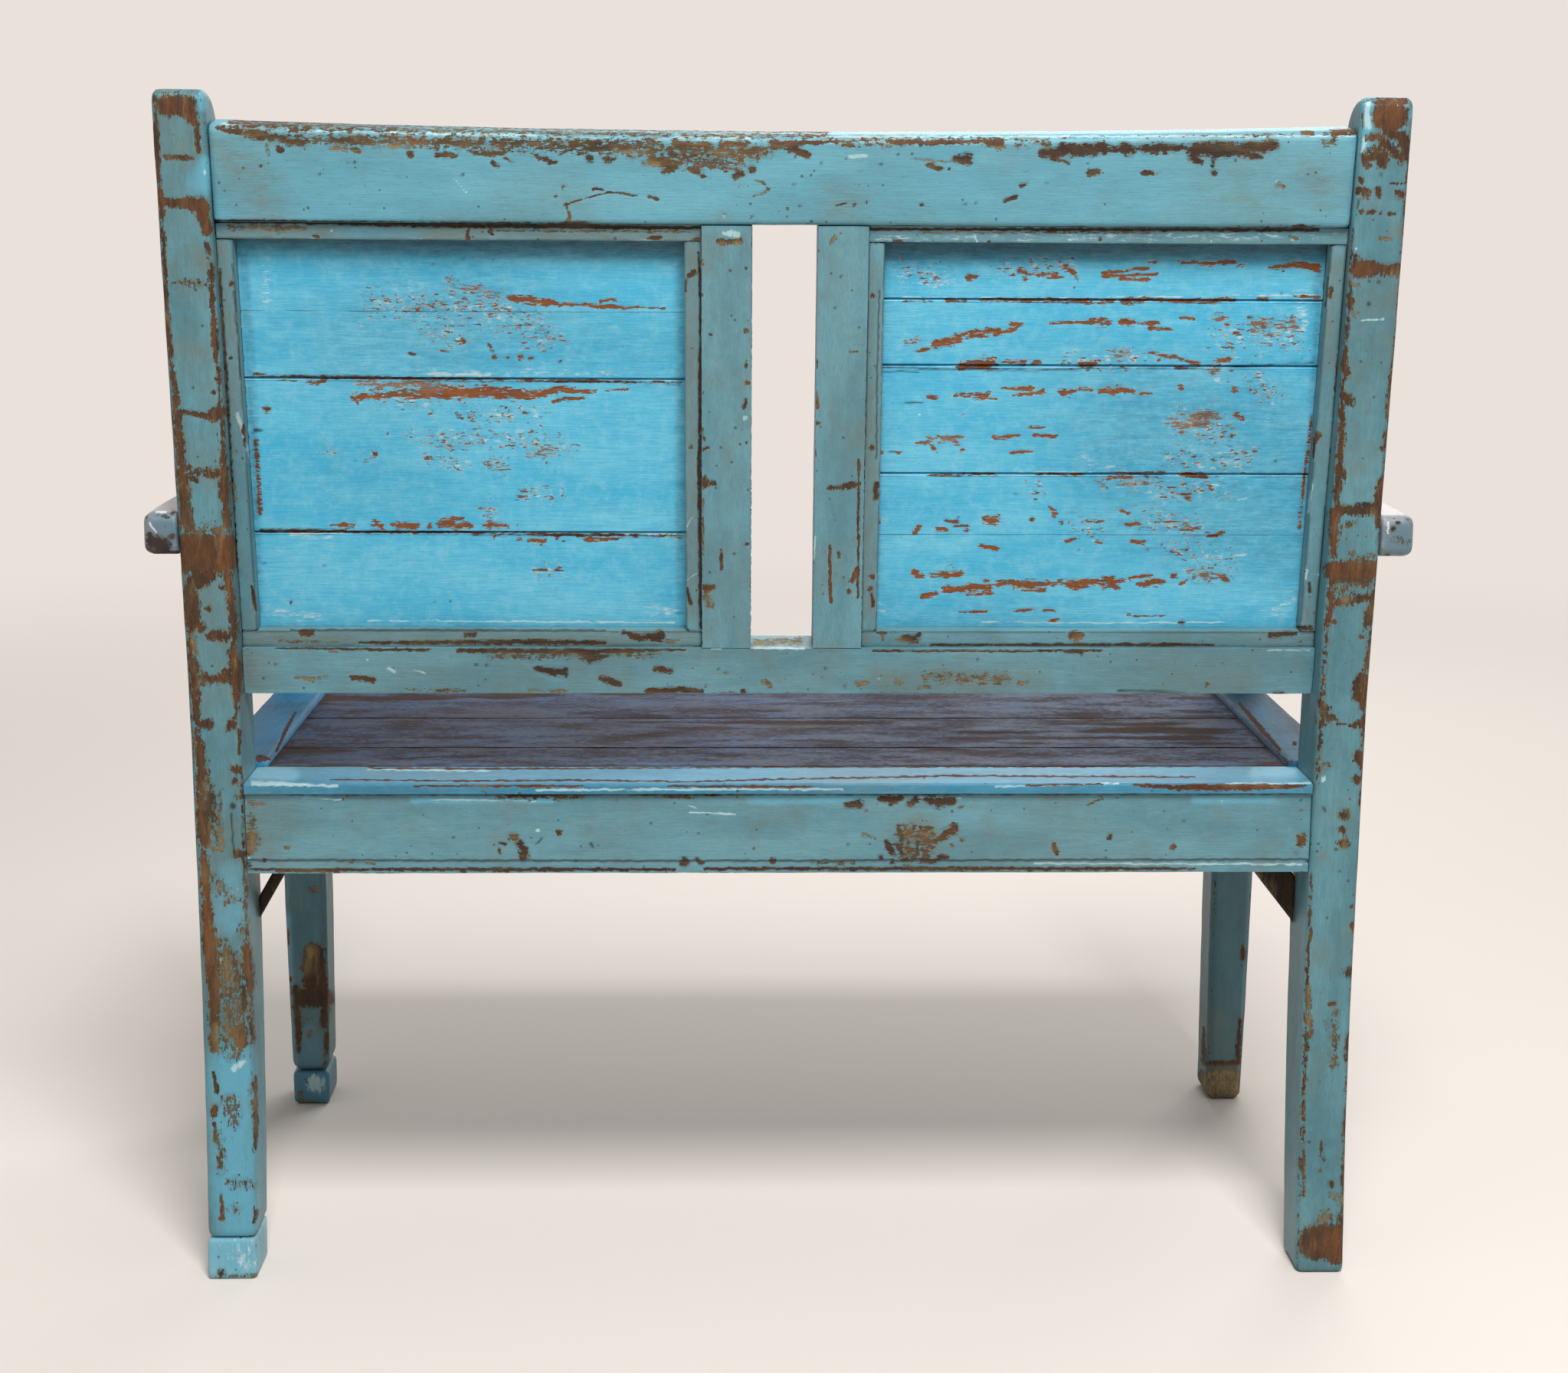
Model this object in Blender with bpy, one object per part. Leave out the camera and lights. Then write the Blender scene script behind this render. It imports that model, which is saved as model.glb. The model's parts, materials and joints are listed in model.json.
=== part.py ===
"""A two-seat garden bench in painted teak, as its separate joined pieces.

Metres, +Z up. The sitter faces -Y, and left and right are the sitter's own.
The origin is on the floor, at the middle of the bench's bounding box.
"""

import math

import bmesh
import bpy
from mathutils import Matrix, Vector

# The gap that touching pieces keep, and how far a union or a cut reaches past a face.
CLEARANCE = 0.0003
OVERLAP = 0.002

# The whole bench: across the posts, up to the post tops, and front to back of the legs.
BENCH_WIDTH = 1.022
BENCH_HEIGHT = 1.034
SEAT_HEIGHT = 0.450
LEG_SPACING = 0.430

# Rear posts: straight at the seat, swept back at the foot and above the seat.
POST_WIDTH = 0.044
POST_DEPTH_FOOT = 0.055
POST_DEPTH_SEAT = 0.068
POST_DEPTH_TOP = 0.047
FOOT_KICK = 0.022
KICK_TOP = 0.300
BEND_RISE = 0.020
BEND_LENGTH = 0.100
BACK_SWEEP = 0.046
POST_ARRIS = 0.005
POST_TOP_ARRIS = 0.008
POST_TOP_FALL = 0.036

# Front legs, tapered towards the floor, with chamfered edges.
LEG_WIDTH = 0.044
LEG_DEPTH = 0.058
LEG_TAPER = 0.003
TAPER_TOP = 0.220
LEG_CHAMFER = 0.006

# The blocks that were let in under the two left legs.
FOOT_BLOCK_HEIGHT = 0.037

# Back frame: two rails between the posts and two stiles beside an open slot.
SEAT_TO_BACK = 0.076
POST_HORN = 0.0225
LOWER_RAIL_HEIGHT = 0.041
TOP_RAIL_HEIGHT = 0.084
TOP_RAIL_DIP = 0.0080
BACK_THICKNESS = 0.038
RECESS_LOW = 0.025
RECESS_TOP = 0.002
STILE_WIDTH = 0.042
SLOT_WIDTH = 0.054
RAIL_ARRIS = 0.003
TOP_RAIL_ROUND = 0.009

# Boarded panels: tongued boards in grooves, with a bead planted all round behind.
# The boards' widths against each other, from the lowest board up, share out the panel.
LEFT_BOARDS = (98, 134, 59, 74)
RIGHT_BOARDS = (99, 52, 94, 56, 64)
BOARD_THICKNESS = 0.012
BOARD_SETBACK = 0.020
PANEL_GROOVE = 0.008
TONGUE_HEIGHT = 0.005
TONGUE_THICKNESS = 0.004
BOARD_GAP = 0.0008
BOARD_EDGE = 0.0012
BEAD_WIDTH = 0.014
BEAD_DEPTH = 0.014
BEAD_ROUND = 0.005
BEAD_ARRIS = 0.0015

# Seat: planks between a moulded strip at each long side and a board at each end.
PLANK_THICKNESS = 0.015
PLANK_GAP = 0.0025
NARROW_PLANK = 0.074
STRIP_INSET = 0.001
FRONT_OVERHANG = 0.004
NOSE_ROUND = 0.006
END_BOARD_PROUD = 0.005
END_BOARD_INSET = 0.009
END_BOARD_ROUND = 0.005
PLANK_EDGE = 0.002

# Seat frame under the planks.
APRON_HEIGHT = 0.066
APRON_THICKNESS = 0.024
APRON_SETBACK = 0.005
APRON_BEAD = 0.0074
APRON_BEAD_PROUD = 0.001
QUIRK_HEIGHT = 0.0017
QUIRK_DEPTH = 0.0020
SIDE_RAIL_SETBACK = 0.009
CLEAT_WIDTH = 0.046
CLEAT_HEIGHT = 0.025
BEARER_WIDTH = 0.032
BEARER_HEIGHT = 0.040
FRAME_EDGE = 0.002

# Tenons: their thickness, their length and how far they stand in from a rail's edges.
TENON_THICKNESS = 0.010
TENON_LENGTH = 0.022
TENON_SHOULDER = 0.009
STILE_TENON = 0.018
BEARER_TENON = 0.008

# Arms: flat boards that pass outside the rear posts.
ARM_RISE = 0.238
ARM_THICKNESS = 0.0365
ARM_OUTSIDE = 0.030
ARM_BULGE = 0.0035
ARM_NOSE_TUCK = 0.0165
ARM_WAIST = 0.006
ARM_NECK = 0.030
ARM_FRONT_WIDTH = 0.076
ARM_FRONT_OVERHANG = 0.022
ARM_REAR_SETBACK = 0.004
ARM_EDGE_ROUND = 0.008
ARM_END_ROUND = 0.020
LEG_TENON = (0.022, 0.032, 0.020)
ARM_TENON = (0.024, 0.015, 0.014)

# Rough braces in the rear corners: slope, width, depth, and where they meet the post.
BRACE_DEPTH = 0.014
BRACE_REVEAL = 0.009
BRACE_ARRIS = 0.001
LEFT_BRACE = (math.radians(60), 0.0115, 0.312)
RIGHT_BRACE = (math.radians(52), 0.0280, 0.307)

# Colours as sRGB hex.
PAINT = "6498a4"
PANEL_PAINT = "55b6d1"
SEAT_WOOD = "75717b"
SEAT_PAINT = "6fb4cf"
ARM_PAINT = "a9b7bb"
BARE_TEAK = "7d5431"
DARK_TEAK = "4a3423"

# Places that several pieces share.
HALF = BENCH_WIDTH / 2
INNER = HALF - POST_WIDTH
ARM_REACH = LEG_SPACING - FOOT_KICK + LEG_DEPTH + ARM_FRONT_OVERHANG
REAR = (ARM_REACH - BACK_SWEEP) / 2
POST_FRONT = REAR - POST_DEPTH_SEAT
LEG_REAR = REAR + FOOT_KICK - LEG_SPACING
LEG_FRONT = LEG_REAR - LEG_DEPTH
SEAT_UNDERSIDE = SEAT_HEIGHT - PLANK_THICKNESS
ARM_TOP = SEAT_HEIGHT + ARM_RISE
BEND_START = SEAT_HEIGHT + BEND_RISE
LOWER_RAIL_BOTTOM = SEAT_HEIGHT + SEAT_TO_BACK
TOP_RAIL_CROWN = BENCH_HEIGHT - POST_HORN
END_BOARD_EDGE = INNER - END_BOARD_INSET
SIDE_RAIL_INNER = HALF - SIDE_RAIL_SETBACK - APRON_THICKNESS
SIDES = (("left", 1), ("right", -1))


def post_lean(height):
    """How far a post's rear face lies behind its place at seat height."""
    slope = BACK_SWEEP / (BENCH_HEIGHT - BEND_START - BEND_LENGTH / 2)
    rise = height - BEND_START
    if height < KICK_TOP:
        return FOOT_KICK * (1 - height / KICK_TOP) ** 2
    if rise <= 0:
        return 0.0
    if rise < BEND_LENGTH:
        return slope * rise * rise / (2 * BEND_LENGTH)
    return slope * (rise - BEND_LENGTH / 2)


# The leaning plane of the back, as (y, z): the lower rail's foot and the top rail's crown.
BACK_FOOT = Vector((REAR + post_lean(LOWER_RAIL_BOTTOM) - RECESS_LOW, LOWER_RAIL_BOTTOM))
BACK_CROWN = Vector((REAR + post_lean(TOP_RAIL_CROWN) - RECESS_TOP, TOP_RAIL_CROWN))
PANEL_HEIGHT = (BACK_CROWN - BACK_FOOT).length - LOWER_RAIL_HEIGHT - TOP_RAIL_HEIGHT


def clear_scene():
    for item in list(bpy.data.objects):
        bpy.data.objects.remove(item, do_unlink=True)


def linear(hex_colour):
    """An sRGB hex colour as the linear colour that a shader takes."""
    channels = [int(hex_colour[i : i + 2], 16) / 255 for i in (0, 2, 4)]
    return [((c + 0.055) / 1.055) ** 2.4 if c > 0.04045 else c / 12.92 for c in channels] + [1]


def make_material(name, hex_colour, roughness):
    made = bpy.data.materials.new(name)
    made.use_nodes = True
    shader = made.node_tree.nodes["Principled BSDF"]
    shader.inputs["Base Color"].default_value = linear(hex_colour)
    shader.inputs["Roughness"].default_value = roughness
    shader.inputs["Metallic"].default_value = 0.0
    made.diffuse_color = linear(hex_colour)
    return made


def add_piece(name, bm, look, origin=(0, 0, 0), frame=None):
    """One object with its origin at a point of the piece, both given in the frame."""
    bmesh.ops.translate(bm, vec=-Vector(origin), verts=bm.verts)
    mesh = bpy.data.meshes.new(name)
    bm.to_mesh(mesh)
    bm.free()
    hex_colour, roughness = look
    mesh.materials.append(make_material(name + "_finish", hex_colour, roughness))
    piece = bpy.data.objects.new(name, mesh)
    bpy.context.scene.collection.objects.link(piece)
    piece.matrix_world = (frame or Matrix()) @ Matrix.Translation(origin)
    return piece


def add_helper(name, bm, frame=None):
    """A shape for a union or a cut. It isn't a piece of the bench."""
    helper = add_piece(name, bm, (DARK_TEAK, 1.0), frame=frame)
    helper.hide_render = True
    helper.display_type = "WIRE"
    return helper


def box(low, high):
    bm = bmesh.new()
    low, high = Vector(low), Vector(high)
    size = Matrix.Diagonal((high - low).to_4d())
    size[3][3] = 1
    bmesh.ops.create_cube(bm, size=1, matrix=Matrix.Translation((low + high) / 2) @ size)
    return bm


def swept(points, sweep):
    """A closed solid: a flat outline moved along a straight line."""
    bm = bmesh.new()
    base = bm.faces.new([bm.verts.new(point) for point in points])
    grown = bmesh.ops.extrude_face_region(bm, geom=[base])
    moved = [item for item in grown["geom"] if isinstance(item, bmesh.types.BMVert)]
    bmesh.ops.translate(bm, vec=sweep, verts=moved)
    bmesh.ops.recalc_face_normals(bm, faces=bm.faces)
    return bm


def along_x(outline, start, end):
    """An outline of (y, z) points, swept from one x to another."""
    return swept([(start, y, z) for y, z in outline], (end - start, 0, 0))


def along_y(outline, start, end):
    """An outline of (x, z) points, swept from one y to another."""
    return swept([(x, start, z) for x, z in outline], (0, end - start, 0))


def rounded(corners, steps=4):
    """An outline in which each corner (a, b, radius) is an arc of that radius."""
    points = []
    for index, (a, b, radius) in enumerate(corners):
        corner = Vector((a, b))
        before = (Vector(corners[index - 1][:2]) - corner).normalized()
        after = (Vector(corners[(index + 1) % len(corners)][:2]) - corner).normalized()
        if radius == 0:
            points.append(corner)
            continue
        half_angle = before.angle(after) / 2
        centre = corner + (before + after).normalized() * radius / math.sin(half_angle)
        first = corner + before * radius / math.tan(half_angle) - centre
        last = corner + after * radius / math.tan(half_angle) - centre
        turn = math.atan2(first.cross(last), first.dot(last))
        for step in range(steps + 1):
            points.append(centre + Matrix.Rotation(turn * step / steps, 2) @ first)
    return points


def smooth_through(points, steps=6):
    """Points on a smooth curve that passes through each given (x, y) point."""
    ends = [2 * points[0] - points[1], *points, 2 * points[-1] - points[-2]]
    curve = []
    for p0, p1, p2, p3 in zip(ends, ends[1:], ends[2:], ends[3:]):
        for step in range(steps):
            t = step / steps
            pull = (2 * p0 - 5 * p1 + 4 * p2 - p3) * t * t + (3 * p1 - p0 - 3 * p2 + p3) * t**3
            curve.append(p1 + (p2 - p0) * t / 2 + pull / 2)
    return [*curve, points[-1]]


def ease_edges(piece, width, segments=2, angle=40):
    """Rounds the edges that are sharper than an angle in degrees."""
    bevel = piece.modifiers.new("Eased edges", "BEVEL")
    bevel.width = width
    bevel.segments = segments
    bevel.limit_method = "ANGLE"
    bevel.angle_limit = math.radians(angle)
    bevel.use_clamp_overlap = True


def combine(piece, helper, operation):
    boolean = piece.modifiers.new(helper.name, "BOOLEAN")
    boolean.operation = operation
    boolean.object = helper
    boolean.solver = "EXACT"


def tenon_joint(tenoned, mortised, shoulder, size, frame=None):
    """A tenon on one piece and its mortise in the other, from the same sizes.

    shoulder is the middle of the tenon's root. size has the tenon's length, with
    its sign, along the axis that it points, and its full width along the others.
    """
    axis = next(i for i in range(3) if shoulder[1][i])
    way = Vector(shoulder[1])
    root = Vector(shoulder[0])
    length = size[axis]
    half = Vector(size) / 2
    half[axis] = 0
    start = root - way * OVERLAP
    end = root + way * length
    name = f"{tenoned.name}_in_{mortised.name}"
    low = [min(a, b) for a, b in zip(start - half, end - half)]
    high = [max(a, b) for a, b in zip(start + half, end + half)]
    combine(tenoned, add_helper(name + "_tenon", box(low, high), frame), "UNION")
    gap = Vector((CLEARANCE,) * 3)
    low = [min(a, b) for a, b in zip(start - half - gap, end - half - gap + way * CLEARANCE)]
    high = [max(a, b) for a, b in zip(start + half + gap, end + half + gap + way * CLEARANCE)]
    combine(mortised, add_helper(name + "_mortise", box(low, high), frame), "DIFFERENCE")


def post_depth(height):
    """A post's depth from its rear face to its front face."""
    if height < KICK_TOP:
        return POST_DEPTH_FOOT + (POST_DEPTH_SEAT - POST_DEPTH_FOOT) * height / KICK_TOP
    if height < BEND_START:
        return POST_DEPTH_SEAT
    up = (height - BEND_START) / (BENCH_HEIGHT - BEND_START)
    return POST_DEPTH_SEAT + (POST_DEPTH_TOP - POST_DEPTH_SEAT) * up


def post_outline(bottom, top, grow=0.0):
    """The side view of a post between two heights, made larger all round by grow."""
    marks = [bottom, top, KICK_TOP, BEND_START]
    marks += [KICK_TOP * step / 6 for step in range(1, 6)]
    marks += [BEND_START + BEND_LENGTH * step / 5 for step in range(1, 6)]
    heights = sorted({h for h in marks if bottom <= h <= top})
    rear = [(REAR + post_lean(h) + grow, h) for h in heights]
    front = [(REAR + post_lean(h) - post_depth(h) - grow, h) for h in heights]
    return rear + front[::-1]


def post_top():
    """The side view of a post's top, from its rear face over to its front face.

    The rear corner is a small arc, and the rest falls forward as a quarter ellipse.
    """
    spring = BENCH_HEIGHT - POST_TOP_FALL
    eye = REAR + post_lean(BENCH_HEIGHT - POST_TOP_ARRIS) - POST_TOP_ARRIS
    reach = eye - (REAR + post_lean(spring) - post_depth(spring))
    points = []
    for step in range(4):
        turn = math.radians(90) * step / 4
        across, up = POST_TOP_ARRIS * math.cos(turn), POST_TOP_ARRIS * (math.sin(turn) - 1)
        points.append((eye + across, BENCH_HEIGHT + up))
    for step in range(8):
        turn = math.radians(90) * step / 8
        fall = POST_TOP_FALL * (math.cos(turn) - 1)
        points.append((eye - reach * math.sin(turn), BENCH_HEIGHT + fall))
    return points


def full_post_outline(bottom):
    """The side view of a whole post, with its rounded top between its two faces."""
    spring = BENCH_HEIGHT - POST_TOP_FALL
    sides = post_outline(bottom, spring)
    half = len(sides) // 2
    return sides[:half] + post_top() + sides[half:]


def back_frame():
    """The leaning plane of the back: y = 0 is its rear face, z runs up it."""
    run, rise = BACK_CROWN - BACK_FOOT
    place = Matrix.Translation((0, *BACK_FOOT))
    return place @ Matrix.Rotation(-math.atan2(run, rise), 4, "X")


def make_rear_post(side, sign):
    bottom = FOOT_BLOCK_HEIGHT + CLEARANCE if side == "left" else 0.0
    bm = along_x(full_post_outline(bottom), sign * INNER, sign * HALF)
    post = add_piece(
        f"rear_post_{side}", bm, (PAINT, 0.6), (sign * (HALF - POST_WIDTH / 2), REAR, bottom)
    )
    ease_edges(post, POST_ARRIS, 3)
    return post


def make_rear_foot(side, sign):
    bm = along_x(post_outline(0, FOOT_BLOCK_HEIGHT), sign * INNER, sign * HALF)
    origin = (sign * (HALF - POST_WIDTH / 2), REAR + FOOT_KICK, 0)
    ease_edges(add_piece(f"rear_foot_{side}", bm, (PAINT, 0.6), origin), POST_ARRIS / 2, 2)


def leg_outline(sign, bottom, top):
    """The front view of a front leg between two heights, narrower at the floor."""
    outline = []
    for edge, way in ((HALF, -1), (HALF - LEG_WIDTH, 1)):
        run = []
        for height in sorted({h for h in (bottom, TAPER_TOP, top) if bottom <= h <= top}):
            taper = LEG_TAPER * max(0.0, 1 - height / TAPER_TOP)
            run.append((sign * (edge + way * taper), height))
        outline += run if not outline else run[::-1]
    return outline


def make_front_leg(side, sign):
    bottom = FOOT_BLOCK_HEIGHT + CLEARANCE if side == "left" else 0.0
    top = ARM_TOP - ARM_THICKNESS - CLEARANCE
    bm = along_y(leg_outline(sign, bottom, top), LEG_FRONT, LEG_REAR)
    origin = (sign * (HALF - LEG_WIDTH / 2), LEG_REAR, bottom)
    leg = add_piece(f"front_leg_{side}", bm, (PAINT, 0.6), origin)
    ease_edges(leg, LEG_CHAMFER, 1)
    return leg


def make_front_foot(side, sign):
    bm = along_y(leg_outline(sign, 0, FOOT_BLOCK_HEIGHT), LEG_FRONT, LEG_REAR)
    origin = (sign * (HALF - LEG_WIDTH / 2), LEG_REAR, 0)
    ease_edges(add_piece(f"front_foot_{side}", bm, (PAINT, 0.6), origin), LEG_CHAMFER / 2, 1)


def make_back_rails(frame, posts):
    """The plain lower rail and the taller top rail, worn hollow along its top edge."""
    end = INNER - CLEARANCE
    lower = rounded(
        [
            (0, 0, RAIL_ARRIS),
            (0, LOWER_RAIL_HEIGHT, RAIL_ARRIS),
            (-BACK_THICKNESS, LOWER_RAIL_HEIGHT, RAIL_ARRIS),
            (-BACK_THICKNESS, 0, RAIL_ARRIS),
        ],
        2,
    )
    lower_rail = add_piece(
        "lower_back_rail", along_x(lower, -end, end), (PAINT, 0.6), (0, 0, 0), frame
    )
    foot = LOWER_RAIL_HEIGHT + PANEL_HEIGHT
    top = rounded(
        [
            (0, foot, RAIL_ARRIS),
            (0, foot + TOP_RAIL_HEIGHT, TOP_RAIL_ROUND),
            (-BACK_THICKNESS, foot + TOP_RAIL_HEIGHT, TOP_RAIL_ROUND),
            (-BACK_THICKNESS, foot, RAIL_ARRIS),
        ],
        4,
    )
    bm = along_x(top, -end, end)
    lengths = [e for e in bm.edges if abs(e.verts[0].co.x - e.verts[1].co.x) > end]
    bmesh.ops.subdivide_edges(bm, edges=lengths, cuts=13)
    for vert in bm.verts:
        worn = max(0.0, (vert.co.z - foot) / TOP_RAIL_HEIGHT)
        vert.co.z -= TOP_RAIL_DIP * worn * (1 - (vert.co.x / end) ** 2)
    top_rail = add_piece("top_rail", bm, (PAINT, 0.6), (0, 0, foot), frame)
    for rail, low, height in (
        (lower_rail, 0, LOWER_RAIL_HEIGHT),
        (top_rail, foot, TOP_RAIL_HEIGHT - TENON_SHOULDER),
    ):
        for (_, sign), post in zip(SIDES, posts):
            shoulder = (sign * end, -BACK_THICKNESS / 2, low + height / 2)
            size = (TENON_LENGTH, TENON_THICKNESS, height - 2 * TENON_SHOULDER)
            tenon_joint(rail, post, (shoulder, (sign, 0, 0)), size, frame)
    return lower_rail, top_rail


def make_stile(side, sign, frame, rails):
    low = LOWER_RAIL_HEIGHT + CLEARANCE
    high = LOWER_RAIL_HEIGHT + PANEL_HEIGHT - CLEARANCE
    inner = sign * SLOT_WIDTH / 2
    outer = sign * (SLOT_WIDTH / 2 + STILE_WIDTH)
    bm = box((min(inner, outer), -BACK_THICKNESS, low), (max(inner, outer), 0, high))
    middle = (inner + outer) / 2
    stile = add_piece(f"back_stile_{side}", bm, (PAINT, 0.6), (middle, 0, low), frame)
    uprights = stile.modifiers.new("Eased uprights", "BEVEL")
    uprights.width = RAIL_ARRIS
    uprights.segments = 2
    uprights.limit_method = "WEIGHT"
    weights = stile.data.attributes.new("bevel_weight_edge", "FLOAT", "EDGE")
    for edge, weight in zip(stile.data.edges, weights.data):
        first, last = (stile.data.vertices[i].co for i in edge.vertices)
        weight.value = 1.0 if abs(first.z - last.z) > STILE_WIDTH else 0.0
    width = STILE_WIDTH - 2 * TENON_SHOULDER
    size = (width, TENON_THICKNESS, STILE_TENON)
    depth = -BACK_THICKNESS / 2
    tenon_joint(stile, rails[0], ((middle, depth, low), (0, 0, -1)), size, frame)
    tenon_joint(stile, rails[1], ((middle, depth, high), (0, 0, 1)), size, frame)
    return stile


def panel_edges(sign):
    """The x of a panel's edge at the stile and of its edge at the post."""
    return sign * (SLOT_WIDTH / 2 + STILE_WIDTH), sign * INNER


def board_outline(low, high, tongue, groove):
    """The end view of a board, with an upper tongue and a lower groove where it has them."""
    rear = -BOARD_SETBACK
    front = rear - BOARD_THICKNESS
    middle = (rear + front) / 2
    half = TONGUE_THICKNESS / 2
    wide = half + CLEARANCE
    deep = TONGUE_HEIGHT + CLEARANCE
    points = [(rear, low + BOARD_EDGE), (rear, high - BOARD_EDGE), (rear - BOARD_EDGE, high)]
    if tongue:
        points += [(middle + half, high), (middle + half, high + TONGUE_HEIGHT)]
        points += [(middle - half, high + TONGUE_HEIGHT), (middle - half, high)]
    points += [(front + BOARD_EDGE, high), (front, high - BOARD_EDGE)]
    points += [(front, low + BOARD_EDGE), (front + BOARD_EDGE, low)]
    if groove:
        points += [(middle - wide, low), (middle - wide, low + deep)]
        points += [(middle + wide, low + deep), (middle + wide, low)]
    points.append((rear - BOARD_EDGE, low))
    return points


def make_panel(side, sign, frame, widths):
    """Tongued boards, let into grooves in the post, the stile and the two rails."""
    inner, outer = panel_edges(sign)
    reach = PANEL_GROOVE - CLEARANCE
    start, end = inner - sign * reach, outer + sign * reach
    joints = [PANEL_HEIGHT * sum(widths[:count]) / sum(widths) for count in range(1, len(widths))]
    levels = [-reach, *joints, PANEL_HEIGHT + reach]
    for number, (low, high) in enumerate(zip(levels, levels[1:]), 1):
        tongue, groove = number < len(levels) - 1, number > 1
        bottom = LOWER_RAIL_HEIGHT + low + (BOARD_GAP if groove else 0)
        outline = board_outline(bottom, LOWER_RAIL_HEIGHT + high, tongue, groove)
        add_piece(
            f"{side}_panel_board_{number}",
            along_x(outline, start, end),
            (PANEL_PAINT, 0.5),
            ((start + end) / 2, -BOARD_SETBACK, bottom),
            frame,
        )


def cut_panel_grooves(side, sign, frame, framing):
    """One slab, larger than the panel by its groove, cut from all that frames it."""
    inner, outer = panel_edges(sign)
    start, end = inner - sign * PANEL_GROOVE, outer + sign * PANEL_GROOVE
    rear = -BOARD_SETBACK + CLEARANCE
    front = -BOARD_SETBACK - BOARD_THICKNESS - CLEARANCE
    low = (min(start, end), front, LOWER_RAIL_HEIGHT - PANEL_GROOVE)
    high = (max(start, end), rear, LOWER_RAIL_HEIGHT + PANEL_HEIGHT + PANEL_GROOVE)
    slab = add_helper(f"{side}_panel_groove", box(low, high), frame)
    for piece in framing:
        combine(piece, slab, "DIFFERENCE")


def bead_section(edge, way):
    """The end view of a bead that stands against an edge: (across, depth) points."""
    near = edge + way * CLEARANCE
    far = edge + way * BEAD_WIDTH
    floor = -BOARD_SETBACK + CLEARANCE
    crest = floor + BEAD_DEPTH
    return rounded(
        [(near, floor, 0), (near, crest, BEAD_ARRIS), (far, crest, BEAD_ROUND), (far, floor, 0)], 3
    )


def make_beads(side, sign, frame):
    """Level beads run the full width of a panel, and upright ones fit between them."""
    inner, outer = panel_edges(sign)
    low, high = LOWER_RAIL_HEIGHT, LOWER_RAIL_HEIGHT + PANEL_HEIGHT
    start, end = inner + sign * CLEARANCE, outer - sign * CLEARANCE
    for place, edge, way in (("bottom", low, 1), ("top", high, -1)):
        outline = [(depth, across) for across, depth in bead_section(edge, way)]
        origin = ((start + end) / 2, -BOARD_SETBACK, edge)
        add_piece(
            f"{side}_{place}_bead", along_x(outline, start, end), (PAINT, 0.6), origin, frame
        )
    foot = low + BEAD_WIDTH + CLEARANCE
    rise = high - BEAD_WIDTH - CLEARANCE - foot
    for place, edge, way in (("inner", inner, sign), ("outer", outer, -sign)):
        points = [(across, depth, foot) for across, depth in bead_section(edge, way)]
        origin = (edge, -BOARD_SETBACK, foot)
        add_piece(
            f"{side}_{place}_bead", swept(points, (0, 0, rise)), (PAINT, 0.6), origin, frame
        )


def apron_outline(face, inward):
    """The end view of an apron whose lower edge is worked into a small bead."""
    top = SEAT_UNDERSIDE - CLEARANCE
    bottom = SEAT_UNDERSIDE - APRON_HEIGHT
    radius = APRON_BEAD / 2
    quirk_top = bottom + APRON_BEAD + QUIRK_HEIGHT
    centre = radius - APRON_BEAD_PROUD
    profile = [(0, top), (0, quirk_top), (QUIRK_DEPTH, quirk_top)]
    for step in range(9):
        turn = math.radians(80 - 170 * step / 8)
        profile.append((centre - radius * math.cos(turn), bottom + radius * (1 + math.sin(turn))))
    profile += [(APRON_THICKNESS, bottom), (APRON_THICKNESS, top)]
    return [(face + inward * depth, height) for depth, height in profile]


def make_apron(name, face, inward, end, carriers):
    """A long apron between two posts or legs, with a tenon at each end."""
    apron = add_piece(
        name, along_x(apron_outline(face, inward), -end, end), (PAINT, 0.6), (0, face, SEAT_UNDERSIDE)
    )
    middle = face + inward * APRON_THICKNESS / 2
    level = SEAT_UNDERSIDE - APRON_HEIGHT / 2
    size = (TENON_LENGTH, TENON_THICKNESS, APRON_HEIGHT - 2 * TENON_SHOULDER)
    for (_, sign), carrier in zip(SIDES, carriers):
        tenon_joint(apron, carrier, ((sign * end, middle, level), (sign, 0, 0)), size)
    return apron


def make_side_rail(side, sign, post, leg):
    """The rail under the end of the seat, from the rear post to the front leg."""
    low = (SIDE_RAIL_INNER, LEG_REAR + CLEARANCE, SEAT_UNDERSIDE - APRON_HEIGHT)
    high = (
        SIDE_RAIL_INNER + APRON_THICKNESS,
        POST_FRONT - CLEARANCE,
        SEAT_UNDERSIDE - CLEARANCE,
    )
    inner, outer = sign * low[0], sign * high[0]
    bm = box((min(inner, outer), *low[1:]), (max(inner, outer), *high[1:]))
    middle = (inner + outer) / 2
    rail = add_piece(f"side_rail_{side}", bm, (PAINT, 0.6), (middle, high[1], high[2]))
    ease_edges(rail, FRAME_EDGE, 1)
    level = SEAT_UNDERSIDE - APRON_HEIGHT / 2
    size = (TENON_THICKNESS, TENON_LENGTH, APRON_HEIGHT - 2 * TENON_SHOULDER)
    tenon_joint(rail, post, ((middle, high[1], level), (0, 1, 0)), size)
    tenon_joint(rail, leg, ((middle, low[1], level), (0, -1, 0)), size)


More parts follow.
